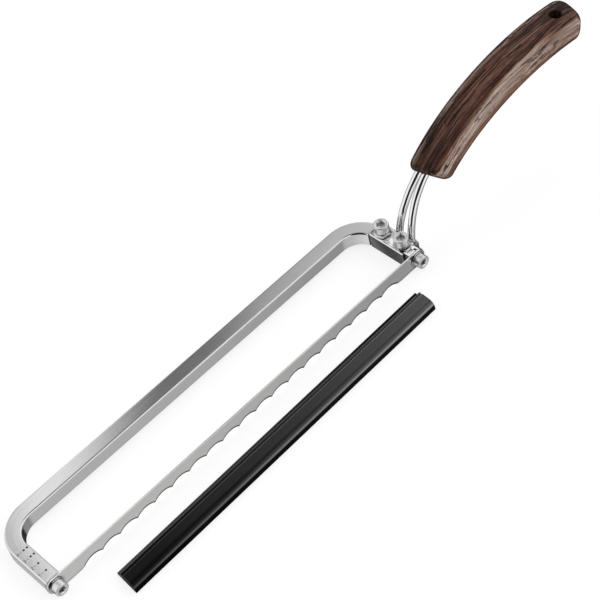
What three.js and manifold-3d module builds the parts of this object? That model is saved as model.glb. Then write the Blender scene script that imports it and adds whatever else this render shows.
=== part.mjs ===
// Uncapping knife: a square-bar bow that stretches a scalloped band blade, with a
// clamp block at its heel that carries two bent rods and a curved wooden handle,
// and a loose channel guard that lies beside the blade.
//
// Units are millimetres. X runs from the tip leg of the bow to the handle, Y runs
// from the blade to the spine of the bow, and Z is up. The origin is the middle of
// the underside of the spine, so the knife lies flat with its cutting edge down and
// its handle rising.

import * as THREE from 'three';
import { mergeVertices } from 'three/addons/utils/BufferGeometryUtils.js';
import Module from 'manifold-3d';

const wasm = await Module();
wasm.setup();

// ---------------------------------------------------------------- dimensions
// shared allowances
const EXTRA = 1;                // overlap of joined solids, overshoot of cutters
const GAP = 0.3;                // clearance round tongue, tenon and rods
const SEAT_GAP = 0.05;          // between faces that bear on each other
const SOCKET_END_GAP = 0.4;     // beyond the end of a tenon or rod in the block
const EDGE_CHAMFER = 0.5;       // broken edges of the block and the end plate
const HOLE_SEGMENTS = 28;

// bow: one length of square bar, bent twice
const BAR = 10;                 // side of the square bar
const BAR_ROUND = 1.1;          // radius along the four edges of the bar
const BEND_R = 18.5;            // centre-line radius of both bends
const MID_Z = BAR / 2;          // height of the bar's centre line
const TIP_X = -142.5;           // centre of the tip leg
const HEEL_X = 141;             // centre of the heel end of the bar
const LEG_END_Y = -47.45;       // end face of the tip leg
const LEG_TAP_DEPTH = 12.5;     // tapped hole in that face
const BAR_HEEL_Y = -14.7;       // shoulder at the heel end of the bar
const TENON_D = 7;              // round tenon that enters the clamp block
const TENON_LEN = 11.4;
const TENON_CHAMFER = 0.6;
const TENON_END_Y = BAR_HEEL_Y - TENON_LEN;
const TENON_X = 140.9;
const TENON_Z = 4.4;
const TENON_FLAT = 7.1;         // height of the flat that the adjusting screw bears on
const TENON_COLLAR = 1.6;       // full round left between the flat and the shoulder

// blade: a thin band with hollow scallops on its lower edge
const BLADE_T = 0.8;
const BLADE_W = 12;
const BLADE_Y = LEG_END_Y - SEAT_GAP;   // back face, against the leg and the plate
const SCALLOP_PITCH = 13;
const SCALLOP_COUNT = 19;
const SCALLOP_X0 = -SCALLOP_COUNT * SCALLOP_PITCH / 2;  // start of the first scallop
const SCALLOP_STEPS = 7;
const SCALLOP_DEPTH = 2.6;      // from the points to the bottom of a hollow
const POINT_DROP = 0.3;         // points stand this far inside the plain ends
const POINT_RUN = 3;            // length of the slope from a plain end to a point
const HEEL_SCREW_X = 142;

// socket cap screws: M5 at the two ends of the blade, M6 on top of the clamp block
const M5 = {
  headD: 8.6, headHeight: 4.7, hexFlats: 4, hexDepth: 2.5, shankD: 4.8, tapD: 5.4, clearD: 5.5,
};
const M6 = {
  headD: 9.5, headHeight: 5.2, hexFlats: 5, hexDepth: 2.8, shankD: 5.7, tapD: 6.3, clearD: 6.6,
};
const HEAD_CHAMFER = 0.45;
const SHANK_CHAMFER = 0.5;
const RIM_CHAMFER = 0.15;       // under the screw heads and on the washers
const TIP_SCREW_LEN = 12;
const HEEL_SCREW_LEN = 5.6;
const CLAMP_SCREW_LEN = 10.4;
const WASHER_D = 9.8, WASHER_T = 0.6;   // under the blade screws
const FLAT_D = 10.6, FLAT_T = 0.8;      // under the clamping screw
const SPRING_D = 9.9, SPRING_T = 1.1;   // between that washer and the head
const SPLIT = { width: 0.9, size: 6, tilt: 24, inset: 0.5 };  // cut through the spring washer
const NUT_FLATS = 9.8, NUT_T = 2.4;     // thin lock nut on the adjusting screw
const NUT_CHAMFER = 0.4;        // height of the turned chamfer
const NUT_SPARE = 0.02;         // the turned blank stands this far outside the corners
const NUT_GAP = 0.1;            // between the nut and the head above it
const ADJ_END_GAP = 0.15;       // between the adjusting screw and the tenon flat

// end plate between the clamp block and the blade
const PLATE_Y0 = LEG_END_Y, PLATE_Y1 = -42.7;
const PLATE_X0 = 137.1, PLATE_R = 6.3;
const PLATE_TAP_WALL = 0.4;     // left behind the blade screw hole
const PLATE_SLOT = { startInset: 1.2, endInset: 0.2, sideInset: 1.4, depth: 0.5 };
const TONGUE_X0 = 137.6, TONGUE_X1 = 145.4; // tongue of the plate inside the block
const TONGUE_Z0 = 0.6, TONGUE_Z1 = 7.6;
const TONGUE_END_Y = PLATE_Y1 + 10.6;

// clamp block at the heel
const BLOCK_X0 = 136, BLOCK_X1 = 148;
const BLOCK_Y0 = -42.4, BLOCK_Y1 = -15;
const BLOCK_Z0 = -1.3, BLOCK_Z1 = BAR;
const RIB_X1 = 152.8;           // rib on the handle side that holds the rod sockets
const RIB_Y0 = -40.5, RIB_Y1 = -23.5;
const RIB_TOP = 5.2;
const RIB_R = 2.6;
const ADJ_X = 141.8, ADJ_Y = -20.7;     // adjusting screw, bears on the tenon of the bar
const CLAMP_X = 141.5, CLAMP_Y = -37.2; // clamping screw, draws up the tongue of the plate

// bent rods
const ROD_D = 4.5;
const ROD_HOLE_D = ROD_D + 2 * GAP;
const ROD_SEGMENTS = 16;
const ROD_STEPS = 18;
const ROD_Y = -32;              // mid-plane of the pair
const ROD_SPREAD0 = 4.95;       // half distance between the rods in the block
const ROD_SPREAD1 = 2.5;        // half distance between the rods in the handle
const ROD_IN = 28;              // straight length inside the handle
const ROD_HOLE_IN = ROD_IN + 0.5;
const ROD_CURVE = [[149.2, 3.0], [149.5, 15.2], [157.7, 34.6], [172.3, 44.2]]; // Bezier X, Z

// handle: bent, tapering bar of hardwood with a hanging hole
const HANDLE_Y = -35.2;
const HANDLE_CURVE = [[172.5, 42.35], [203.2, 68.3], [257.6, 77.4], [305.3, 67.2]]; // Bezier X, Z
const HANDLE_W0 = 22.5, HANDLE_W1 = 27.6;   // across Y at the rods and at the free end
const HANDLE_T0 = 22.4, HANDLE_T1 = 17;     // through the thickness
const HANDLE_SQUARENESS = 3.4;  // exponent of the superellipse section
const HANDLE_SEGMENTS = 28;
const HANDLE_STEPS = 18;        // between the rounded ends
const HANDLE_END_STEPS = 5;
const HANDLE_END0 = 0.044, HANDLE_END1 = 0.062; // rounded ends, as parts of the curve
const HANDLE_FLAT0 = 0.62, HANDLE_FLAT1 = 0.36; // flat on each end, as parts of the section
const HANDLE_SKEW0 = 0.19, HANDLE_SKEW1 = 0.324; // both ends are cut back on the blade side
const HANDLE_SKEW_REACH = 0.35; // part of the curve over which a skew dies away
const HANG_HOLE_D = 7.4;
const HANG_HOLE_AT = 0.893;     // place of the hanging hole along the handle
const HANG_HOLE_CUT = 60;       // length of its cutter

// blade guard: an extruded clip, loose beside the blade
const GUARD_LEN = 240;
const GUARD_X = 3.4, GUARD_BACK_Y = -81.15; // middle of its back edge
const GUARD_TURN = 0.93;        // degrees between the guard and the blade
const GUARD_SKEW = 0.085;       // its ends are cut a little out of square
const GUARD_Z = BLOCK_Z0;       // it lies on the same bench as the knife
const GUARD_W = 17.85, GUARD_H = 6.2;
// section: Y from the closed back to the lips, Z from the bench up
const GUARD_SECTION = [
  // long lower lip
  [1.0, 0], [16.9, 0], [GUARD_W - 0.15, 0.3], [GUARD_W, 0.8],
  [GUARD_W - 0.2, 1.4], [17.1, 1.7], [13.1, 1.7],
  // pocket for the band
  [12.3, 2.1], [3.3, 1.5], [2.6, 2.2], [2.6, 4.0], [3.3, 4.6],
  // gripping bead of the upper lip
  [11.3, 4.3], [12.0, 3.3], [12.7, 3.1], [13.3, 3.6], [13.3, 5.2], [12.7, 5.9],
  // groove and flat top
  [11.9, 5.9], [11.5, 5.3], [10.8, 5.3], [10.4, GUARD_H], [4.4, GUARD_H],
  // well rounded back
  [3.0, 5.95], [1.8, 5.3], [0.85, 4.3], [0.25, 3.1], [0, 1.8], [0, 1.0], [0.3, 0.3],
];

const FINISH = {
  bar: { color: 0xc4c5c6, roughness: 0.34, metalness: 1 },
  screw: { color: 0xc4c5c6, roughness: 0.32, metalness: 1 },
  nut: { color: 0xc4c5c6, roughness: 0.3, metalness: 1 },
  springWasher: { color: 0xc4c5c6, roughness: 0.35, metalness: 1 },
  bright: { color: 0xd6d7d9, roughness: 0.3, metalness: 1 },
  endPlate: { color: 0xd6d7d9, roughness: 0.28, metalness: 1 },
  blade: { color: 0xb9babb, roughness: 0.36, metalness: 1 },
  chrome: { color: 0xe6e8ea, roughness: 0.08, metalness: 1 },
  wood: { color: 0x4a2f25, roughness: 0.5, metalness: 0 },
  guard: { color: 0x1b1b1c, roughness: 0.55, metalness: 0 },
};

// ------------------------------------------------------------------- helpers
const AXIS_X = new THREE.Vector3(1, 0, 0);
const AXIS_Y = new THREE.Vector3(0, 1, 0);
const AXIS_Z = new THREE.Vector3(0, 0, 1);
const radians = THREE.MathUtils.degToRad;
const at = (x, y, z) => new THREE.Matrix4().makeTranslation(x, y, z);
const turnX = (degrees) => new THREE.Matrix4().makeRotationX(radians(degrees));

// Welds a closed geometry and drops its collapsed triangles.
function toSolid(geometry, matrix) {
  geometry.deleteAttribute('normal');
  geometry.deleteAttribute('uv');
  if (matrix) geometry.applyMatrix4(matrix);
  const welded = mergeVertices(geometry, 1e-4);
  const index = welded.index.array;
  const triangles = [];
  for (let i = 0; i < index.length; i += 3) {
    const [a, b, c] = index.slice(i, i + 3);
    if (a !== b && b !== c && a !== c) triangles.push(a, b, c);
  }
  const solid = new wasm.Manifold(new wasm.Mesh({
    numProp: 3,
    vertProperties: new Float32Array(welded.attributes.position.array),
    triVerts: new Uint32Array(triangles),
  }));
  if (solid.volume() < 0) throw new Error('a piece is inside out');
  return solid;
}

function toGeometry(solid) {
  const mesh = solid.getMesh();
  const geometry = new THREE.BufferGeometry();
  geometry.setAttribute('position', new THREE.Float32BufferAttribute(mesh.vertProperties, 3));
  geometry.setIndex(new THREE.Uint32BufferAttribute(mesh.triVerts, 1));
  geometry.computeVertexNormals();
  return geometry;
}

const cut = (solid, ...cutters) => cutters.reduce((rest, cutter) => rest.subtract(cutter), solid);

function cylinderZ(diameter, z0, z1, x = 0, y = 0, segments = HOLE_SEGMENTS) {
  const geometry = new THREE.CylinderGeometry(diameter / 2, diameter / 2, z1 - z0, segments);
  return toSolid(geometry, at(x, y, (z0 + z1) / 2).multiply(turnX(90)));
}

function cylinderY(diameter, y0, y1, x, z) {
  const geometry = new THREE.CylinderGeometry(diameter / 2, diameter / 2, y1 - y0, HOLE_SEGMENTS);
  return toSolid(geometry, at(x, (y0 + y1) / 2, z));
}

const hexPrism = (flats, z0, z1) => cylinderZ(2 * flats / Math.sqrt(3), z0, z1, 0, 0, 6);

function box(x0, x1, y0, y1, z0, z1) {
  return toSolid(
    new THREE.BoxGeometry(x1 - x0, y1 - y0, z1 - z0),
    at((x0 + x1) / 2, (y0 + y1) / 2, (z0 + z1) / 2),
  );
}

const toVectors = (points) => points.map(([x, y]) => new THREE.Vector2(x, y));

// profile of [radius, height] points, turned about Y
const lathe = (profile, segments) => new THREE.LatheGeometry(toVectors(profile), segments);
// the same, stood up on Z
const turned = (profile, segments = 32) => toSolid(lathe(profile, segments), turnX(90));

function extrude(outline, depth, matrix) {
  const shape = new THREE.Shape(toVectors(outline));
  return toSolid(new THREE.ExtrudeGeometry(shape, { depth, bevelEnabled: false }), matrix);
}

// outline in X and Z, placed at x, y, z and drawn toward -Y
function extrudeMinusY(outline, depth, x, y, z) {
  const basis = new THREE.Matrix4().makeBasis(AXIS_X, AXIS_Z, new THREE.Vector3(0, -1, 0));
  return extrude(outline, depth, basis.setPosition(x, y, z));
}

// both ends of the arc are included
function arc(centreX, centreY, radius, from, to, steps) {
  return Array.from({ length: steps + 1 }, (_, i) => {
    const angle = radians(from + ((to - from) * i) / steps);
    return [centreX + radius * Math.cos(angle), centreY + radius * Math.sin(angle)];
  });
}

// Path through given points. Its tangent at a point halves the corner there, so
// that a swept section stays square to the path.
class PointPath extends THREE.Curve {
  constructor(points) {
    super();
    this.points = points;
  }

  getPointAt(u, target = new THREE.Vector3()) {
    return target.copy(this.points[Math.round(u * (this.points.length - 1))]);
  }

  getTangentAt(u, target = new THREE.Vector3()) {
    const last = this.points.length - 1;
    const i = Math.round(u * last);
    const here = this.points[i];
    target.set(0, 0, 0);
    if (i > 0) target.add(here.clone().sub(this.points[i - 1]).normalize());
    if (i < last) target.add(this.points[i + 1].clone().sub(here).normalize());
    return target.normalize();
  }
}

function sweep(outline, points) {
  return toSolid(new THREE.ExtrudeGeometry(new THREE.Shape(toVectors(outline)), {
    steps: points.length - 1,
    extrudePath: new PointPath(points),
    bevelEnabled: false,
  }));
}

// weighted sum of [x, z] points, as a vector at height y
function blend(points, weights, y) {
  const sum = new THREE.Vector3(0, y, 0);
  points.forEach(([x, z], i) => {
    sum.x += weights[i] * x;
    sum.z += weights[i] * z;
  });
  return sum;
}

function bezierPoint(curve, u, y) {
  const v = 1 - u;
  return blend(curve, [v ** 3, 3 * v ** 2 * u, 3 * v * u * u, u ** 3], y);
}

function bezierTangent(curve, u) {
  const v = 1 - u;
  const legs = curve.slice(1).map(([x, z], i) => [x - curve[i][0], z - curve[i][1]]);
  return blend(legs, [3 * v ** 2, 6 * v * u, 3 * u * u], 0).normalize();
}

const root = new THREE.Group();

function add(name, solid, finish, parent = root) {
  const mesh = new THREE.Mesh(toGeometry(solid), new THREE.MeshStandardMaterial(finish));
  mesh.name = name;
  parent.add(mesh);
  return mesh;
}

// ----------------------------------------------------------------------- bow
function bowBar() {
  const inset = BAR / 2 - BAR_ROUND;
  const section = [[inset, inset], [-inset, inset], [-inset, -inset], [inset, -inset]]
    .flatMap(([x, y], i) => arc(x, y, BAR_ROUND, 90 * i, 90 * i + 90, 2));
  const path = [
    [TIP_X, LEG_END_Y],
    ...arc(TIP_X + BEND_R, -BEND_R, BEND_R, 180, 90, 11),
    ...arc(HEEL_X - BEND_R, -BEND_R, BEND_R, 90, 0, 11),
  ].map(([x, y]) => new THREE.Vector3(x, y, MID_Z));
  // the heel bend is faced off square where it meets the block
  const facing = box(
    HEEL_X - BAR, HEEL_X + BAR,
    BAR_HEEL_Y - BAR, BAR_HEEL_Y,
    -EXTRA, BAR + EXTRA,
  );
  const legHole = cylinderY(
    M5.tapD, LEG_END_Y - EXTRA, LEG_END_Y + LEG_TAP_DEPTH, TIP_X, MID_Z,
  );
  return cut(cut(sweep(section, path), facing).add(tenon()), legHole);
}

// round tenon with a broken end and a flat on top for the adjusting screw
function tenon() {
  const radius = TENON_D / 2;
  const profile = [
    [0, 0], [radius - TENON_CHAMFER, 0], [radius, TENON_CHAMFER],
    [radius, TENON_LEN + EXTRA], [0, TENON_LEN + EXTRA],
  ];
  const flat = box(
    TENON_X - TENON_D, TENON_X + TENON_D,
    TENON_END_Y - EXTRA, BAR_HEEL_Y - TENON_COLLAR,
    TENON_FLAT, TENON_FLAT + TENON_D,
  );
  return cut(toSolid(lathe(profile, HOLE_SEGMENTS), at(TENON_X, TENON_END_Y, TENON_Z)), flat);
}

// ---------------------------------------------------------------------- rods
// side is 1 for the rod nearer the spine and -1 for the rod nearer the blade
function rodCentre(u, side) {
  const eased = u * u * (3 - 2 * u);
  const spread = ROD_SPREAD0 + (ROD_SPREAD1 - ROD_SPREAD0) * eased;
  return bezierPoint(ROD_CURVE, u, ROD_Y + side * spread);
}

// startLength and endLength are straight runs beyond the two ends of the curve
function rod(side, diameter, startLength, endLength) {
  const points = Array.from({ length: ROD_STEPS + 1 }, (_, i) => rodCentre(i / ROD_STEPS, side));
  const end = points[ROD_STEPS];
  if (startLength) {
    const outward = points[0].clone().sub(points[1]).normalize();
    points.unshift(points[0].clone().addScaledVector(outward, startLength));
  }
  if (endLength) {
    const direction = bezierTangent(ROD_CURVE, 1);
    for (const length of [endLength / 2, endLength]) {
      points.push(end.clone().addScaledVector(direction, length));
    }
  }
  // the last point of the full circle repeats the first
  const section = arc(0, 0, diameter / 2, 0, 360, ROD_SEGMENTS).slice(0, -1);
  return sweep(section, points);
}

// --------------------------------------------------------------- clamp block
function clampBlock() {
  const width = BLOCK_X1 - BLOCK_X0;
  const height = BLOCK_Z1 - BLOCK_Z0;
  const edge = EDGE_CHAMFER;
  const outline = [
    [edge, 0], [width - edge, 0], [width, edge], [width, height - edge],
    [width - edge, height], [edge, height], [0, height - edge], [0, edge],
  ];
  const body = extrudeMinusY(outline, BLOCK_Y1 - BLOCK_Y0, BLOCK_X0, BLOCK_Y1, BLOCK_Z0);

  const ribOutline = [
    [BLOCK_X1 - EXTRA, RIB_Y0],
    ...arc(RIB_X1 - RIB_R, RIB_Y0 + RIB_R, RIB_R, -90, 0, 5),
    ...arc(RIB_X1 - RIB_R, RIB_Y1 - RIB_R, RIB_R, 0, 90, 5),
    [BLOCK_X1 - EXTRA, RIB_Y1],
  ];
  const rib = extrude(ribOutline, RIB_TOP - BLOCK_Z0, at(0, 0, BLOCK_Z0));

  const tenonSocket = cylinderY(
    TENON_D + 2 * GAP, TENON_END_Y - SOCKET_END_GAP, BLOCK_Y1 + EXTRA, TENON_X, TENON_Z,
  );
  const tongueSlot = box(
    TONGUE_X0 - GAP, TONGUE_X1 + GAP,
    BLOCK_Y0 - EXTRA, TONGUE_END_Y + GAP,
    TONGUE_Z0 - GAP, TONGUE_Z1 + GAP,
  );
  return cut(
    body.add(rib),
    tenonSocket,
    tongueSlot,
    // screw holes from above, into the socket and the slot
    cylinderZ(M6.tapD, TENON_Z, BLOCK_Z1 + EXTRA, ADJ_X, ADJ_Y),
    cylinderZ(M6.clearD, TONGUE_Z1 - EXTRA, BLOCK_Z1 + EXTRA, CLAMP_X, CLAMP_Y),
    ...[1, -1].map((side) => rod(side, ROD_HOLE_D, SOCKET_END_GAP, 0)),
  );
}

// ----------------------------------------------------------------- end plate
function endPlate() {
  const top = MID_Z + PLATE_R;
  const bottom = MID_Z - PLATE_R;
  const outline = [
    [PLATE_X0 + EDGE_CHAMFER, bottom],
    ...arc(HEEL_SCREW_X, MID_Z, PLATE_R, -90, 90, 16),
    [PLATE_X0 + EDGE_CHAMFER, top],
    [PLATE_X0, top - EDGE_CHAMFER],
    [PLATE_X0, bottom + EDGE_CHAMFER],
  ];
  const plate = extrudeMinusY(outline, PLATE_Y1 - PLATE_Y0, 0, PLATE_Y1, 0);
  const tongue = box(
    TONGUE_X0, TONGUE_X1, PLATE_Y1 - EXTRA, TONGUE_END_Y, TONGUE_Z0, TONGUE_Z1,
  );
  // shallow milled slot along the top edge
  const slot = box(
    PLATE_X0 + PLATE_SLOT.startInset, HEEL_SCREW_X - PLATE_SLOT.endInset,
    PLATE_Y0 + PLATE_SLOT.sideInset, PLATE_Y1 - PLATE_SLOT.sideInset,
    top - PLATE_SLOT.depth, top + EXTRA,
  );
  return cut(
    plate.add(tongue),
    cylinderY(M5.tapD, PLATE_Y0 - EXTRA, PLATE_Y1 - PLATE_TAP_WALL, HEEL_SCREW_X, MID_Z),
    cylinderZ(M6.tapD, TONGUE_Z0 - EXTRA, TONGUE_Z1 + EXTRA, CLAMP_X, CLAMP_Y),
    slot,
  );
}

// --------------------------------------------------------------------- blade
// one hollow, from its first point up to but not including the next
function scallop(startX, pointZ) {
  const half = SCALLOP_PITCH / 2;
  const radius = (half ** 2 + SCALLOP_DEPTH ** 2) / (2 * SCALLOP_DEPTH);
  return Array.from({ length: SCALLOP_STEPS }, (_, i) => {
    const x = -half + (SCALLOP_PITCH * i) / SCALLOP_STEPS;
    const sag = radius - Math.sqrt(radius * radius - x * x);
    return [startX + half + x, pointZ + SCALLOP_DEPTH - sag];
  });
}

function blade() {
  const halfWidth = BLADE_W / 2;
  const plainZ = MID_Z - halfWidth;
  const pointZ = plainZ + POINT_DROP;
  const outline = [
    ...arc(TIP_X, MID_Z, halfWidth, 90, 270, 14),
    [SCALLOP_X0 - POINT_RUN, plainZ],
  ];
  for (let i = 0; i < SCALLOP_COUNT; i++) {
    outline.push(...scallop(SCALLOP_X0 + i * SCALLOP_PITCH, pointZ));
  }
  const endX = SCALLOP_X0 + SCALLOP_COUNT * SCALLOP_PITCH;
  outline.push(
    [endX, pointZ],
    [endX + POINT_RUN, plainZ],
    ...arc(HEEL_SCREW_X, MID_Z, halfWidth, -90, 90, 14),
  );
  const holes = [TIP_X, HEEL_SCREW_X].map((x) => (
    cylinderY(M5.clearD, BLADE_Y - BLADE_T - EXTRA, BLADE_Y + EXTRA, x, MID_Z)
  ));
  return cut(extrudeMinusY(outline, BLADE_T, 0, BLADE_Y, 0), ...holes);
}

// ----------------------------------------------------------------- fasteners
// cap screw along Z: underside of the head at z = 0, shank below it
function capScrew(size, shankLength) {
  const head = size.headD / 2;
  const shank = size.shankD / 2;
  const top = size.headHeight;
  const body = turned([
    [0, -shankLength], [shank - SHANK_CHAMFER, -shankLength],
    [shank, -shankLength + SHANK_CHAMFER], [shank, 0],
    [head - RIM_CHAMFER, 0], [head, RIM_CHAMFER],
    [head, top - HEAD_CHAMFER], [head - HEAD_CHAMFER, top], [0, top],
  ]);
  return cut(body, hexPrism(size.hexFlats, top - size.hexDepth, top + EXTRA));
}

function washer(outerD, innerD, thickness) {
  const outer = outerD / 2;
  const inner = innerD / 2;
  return turned([
    [inner, 0], [outer - RIM_CHAMFER, 0], [outer, RIM_CHAMFER],
    [outer, thickness - RIM_CHAMFER], [outer - RIM_CHAMFER, thickness],
    [inner, thickness], [inner, 0],
  ]);
}

function springWasher() {
  const place = at(SPRING_D / 2 - SPLIT.inset, 0, SPRING_T / 2).multiply(turnX(SPLIT.tilt));
  const split = toSolid(new THREE.BoxGeometry(SPLIT.size, SPLIT.width, SPLIT.size), place);
  return cut(washer(SPRING_D, M6.clearD, SPRING_T), split);
}

function lockNut() {
  const flat = NUT_FLATS / 2;
  const corner = NUT_FLATS / Math.sqrt(3) + NUT_SPARE;
  // turned chamfers on the corners of the nut
  const blank = turned([
    [0, 0], [flat, 0], [corner, NUT_CHAMFER],
    [corner, NUT_T - NUT_CHAMFER], [flat, NUT_T], [0, NUT_T],
  ], 36);
  const nut = hexPrism(NUT_FLATS, 0, NUT_T).intersect(blank);
  return cut(nut, cylinderZ(M6.tapD, -EXTRA, NUT_T + EXTRA));
}

// Group that carries fasteners along its own Z, tipped about X by tilt degrees.
// Parts are [name, solid, finish, z, spin in degrees].
function addStack(x, y, z, tilt, parts) {
  const group = new THREE.Group();
  group.position.set(x, y, z);
  group.rotation.x = radians(tilt);
  root.add(group);
  for (const [name, solid, finish, height, spin] of parts) {
    const mesh = add(name, solid, finish, group);
    mesh.position.z = height;
    mesh.rotation.z = radians(spin);
  }
}

// local +Z points away from the spine
function addBladeScrew(end, x, length, spin) {
  const washerSolid = washer(WASHER_D, M5.clearD, WASHER_T);
  addStack(x, BLADE_Y - BLADE_T - SEAT_GAP, MID_Z, 90, [
    [`${end}_blade_washer`, washerSolid, FINISH.bright, 0, 0],
    [`${end}_blade_screw`, capScrew(M5, length), FINISH.screw, WASHER_T + SEAT_GAP, spin],
  ]);
}

function addBlockScrews() {
  const seatZ = BLOCK_Z1 + SEAT_GAP;
  const adjusterZ = NUT_T + NUT_GAP;
  const adjuster = capScrew(M6, seatZ + adjusterZ - TENON_FLAT - ADJ_END_GAP);
  addStack(ADJ_X, ADJ_Y, seatZ, 0, [
    ['adjuster_lock_nut', lockNut(), FINISH.nut, 0, 18],
    ['adjuster_screw', adjuster, FINISH.screw, adjusterZ, 8],
  ]);

  const springZ = FLAT_T + SEAT_GAP;
  const clampZ = springZ + SPRING_T + SEAT_GAP;
  addStack(CLAMP_X, CLAMP_Y, seatZ, 0, [
    ['clamp_flat_washer', washer(FLAT_D, M6.clearD, FLAT_T), FINISH.bright, 0, 0],
    ['clamp_spring_washer', springWasher(), FINISH.springWasher, springZ, -150],
    ['clamp_screw', capScrew(M6, CLAMP_SCREW_LEN), FINISH.screw, clampZ, 20],
  ]);
}

// -------------------------------------------------------------------- handle
// centre, tangent and upward normal at a part u of the curve
function handleFrame(u) {
  const centre = bezierPoint(HANDLE_CURVE, u, HANDLE_Y);
  const tangent = bezierTangent(HANDLE_CURVE, u);
  return { centre, tangent, normal: new THREE.Vector3(-tangent.z, 0, tangent.x) };
}

// half outline of a blank of unit radius and unit height, rounded at both ends
function handleProfile() {
  const profile = [[0, 0]];
  const rounding = (i, flat, length) => {
    const angle = (Math.PI / 2) * (i / HANDLE_END_STEPS);
    return [flat + (1 - flat) * Math.sin(angle), length * (1 - Math.cos(angle))];
  };
  for (let i = 0; i <= HANDLE_END_STEPS; i++) {
    profile.push(rounding(i, HANDLE_FLAT0, HANDLE_END0));
  }
  for (let i = 1; i < HANDLE_STEPS; i++) {
    profile.push([1, HANDLE_END0 + (1 - HANDLE_END0 - HANDLE_END1) * (i / HANDLE_STEPS)]);
  }
  for (let i = HANDLE_END_STEPS; i >= 0; i--) {
    const [radius, height] = rounding(i, HANDLE_FLAT1, HANDLE_END1);
    profile.push([radius, 1 - height]);
  }
  profile.push([0, 1]);
  return profile;
}

// Takes a point of the blank to the bent handle: u is its place along the curve,
// x and z are its place in the round section.
function bendPoint(x, u, z) {
  const { centre, tangent, normal } = handleFrame(u);
  const radius = Math.hypot(x, z);
  if (radius <= 1e-6) return centre;
  const cosine = x / radius;
  const sine = z / radius;
  const power = HANDLE_SQUARENESS;
  const reach = radius / (Math.abs(cosine) ** power + Math.abs(sine) ** power) ** (1 / power);
  const halfWidth = (HANDLE_W0 + (HANDLE_W1 - HANDLE_W0) * u) / 2;
  const halfThickness = (HANDLE_T0 + (HANDLE_T1 - HANDLE_T0) * u) / 2;
  const across = reach * cosine * halfWidth;
  const nearRod = Math.max(0, 1 - u / HANDLE_SKEW_REACH) ** 2;
  const nearFreeEnd = Math.max(0, (u - (1 - HANDLE_SKEW_REACH)) / HANDLE_SKEW_REACH) ** 2;
  const skew = HANDLE_SKEW1 * nearFreeEnd - HANDLE_SKEW0 * nearRod;
  centre.y += across;
  centre.addScaledVector(normal, -reach * sine * halfThickness);
  return centre.addScaledVector(tangent, across * skew);
}

function handle() {
  const geometry = lathe(handleProfile(), HANDLE_SEGMENTS);
  const position = geometry.attributes.position;
  for (let i = 0; i < position.count; i++) {
    const point = bendPoint(position.getX(i), position.getY(i), position.getZ(i));
    position.setXYZ(i, point.x, point.y, point.z);
  }

  const { centre, tangent, normal } = handleFrame(HANG_HOLE_AT);
  const side = new THREE.Vector3().crossVectors(tangent, normal);
  const radius = HANG_HOLE_D / 2;
  const hangingHole = toSolid(
    new THREE.CylinderGeometry(radius, radius, HANG_HOLE_CUT, HOLE_SEGMENTS),
    new THREE.Matrix4().makeBasis(tangent, normal, side).setPosition(centre),
  );
  const rodHoles = [1, -1].map((rodSide) => rod(rodSide, ROD_HOLE_D, 0, ROD_HOLE_IN));
  return cut(toSolid(geometry), hangingHole, ...rodHoles);
}

// --------------------------------------------------------------- blade guard
function bladeGuard() {
  const alongX = new THREE.Matrix4().makeBasis(AXIS_Y, AXIS_Z, AXIS_X);
  alongX.setPosition(-GUARD_LEN / 2, 0, 0);
  const skew = new THREE.Matrix4().set(
    1, GUARD_SKEW, 0, 0,
    0, 1, 0, 0,
    0, 0, 1, 0,
    0, 0, 0, 1,
  );
  return extrude(GUARD_SECTION, GUARD_LEN, skew.multiply(alongX));
}

function addGuard() {
  const group = new THREE.Group();
  group.position.set(GUARD_X, GUARD_BACK_Y, GUARD_Z);
  group.rotation.z = radians(GUARD_TURN);
  root.add(group);
  add('blade_guard', bladeGuard(), FINISH.guard, group);
}

// ------------------------------------------------------------------ assembly
add('bow_bar', bowBar(), FINISH.bar);
add('clamp_block', clampBlock(), FINISH.bright);
add('end_plate', endPlate(), FINISH.endPlate);
add('cutting_blade', blade(), FINISH.blade);
addBladeScrew('tip', TIP_X, TIP_SCREW_LEN, 12);
addBladeScrew('heel', HEEL_SCREW_X, HEEL_SCREW_LEN, 24);
addBlockScrews();
add('spine_side_rod', rod(1, ROD_D, 0, ROD_IN), FINISH.chrome);
add('blade_side_rod', rod(-1, ROD_D, 0, ROD_IN), FINISH.chrome);
add('handle', handle(), FINISH.wood);
addGuard();

export default root;
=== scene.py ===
import bpy
import bmesh
import math
import numpy as np
from mathutils import Matrix, Vector


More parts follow.
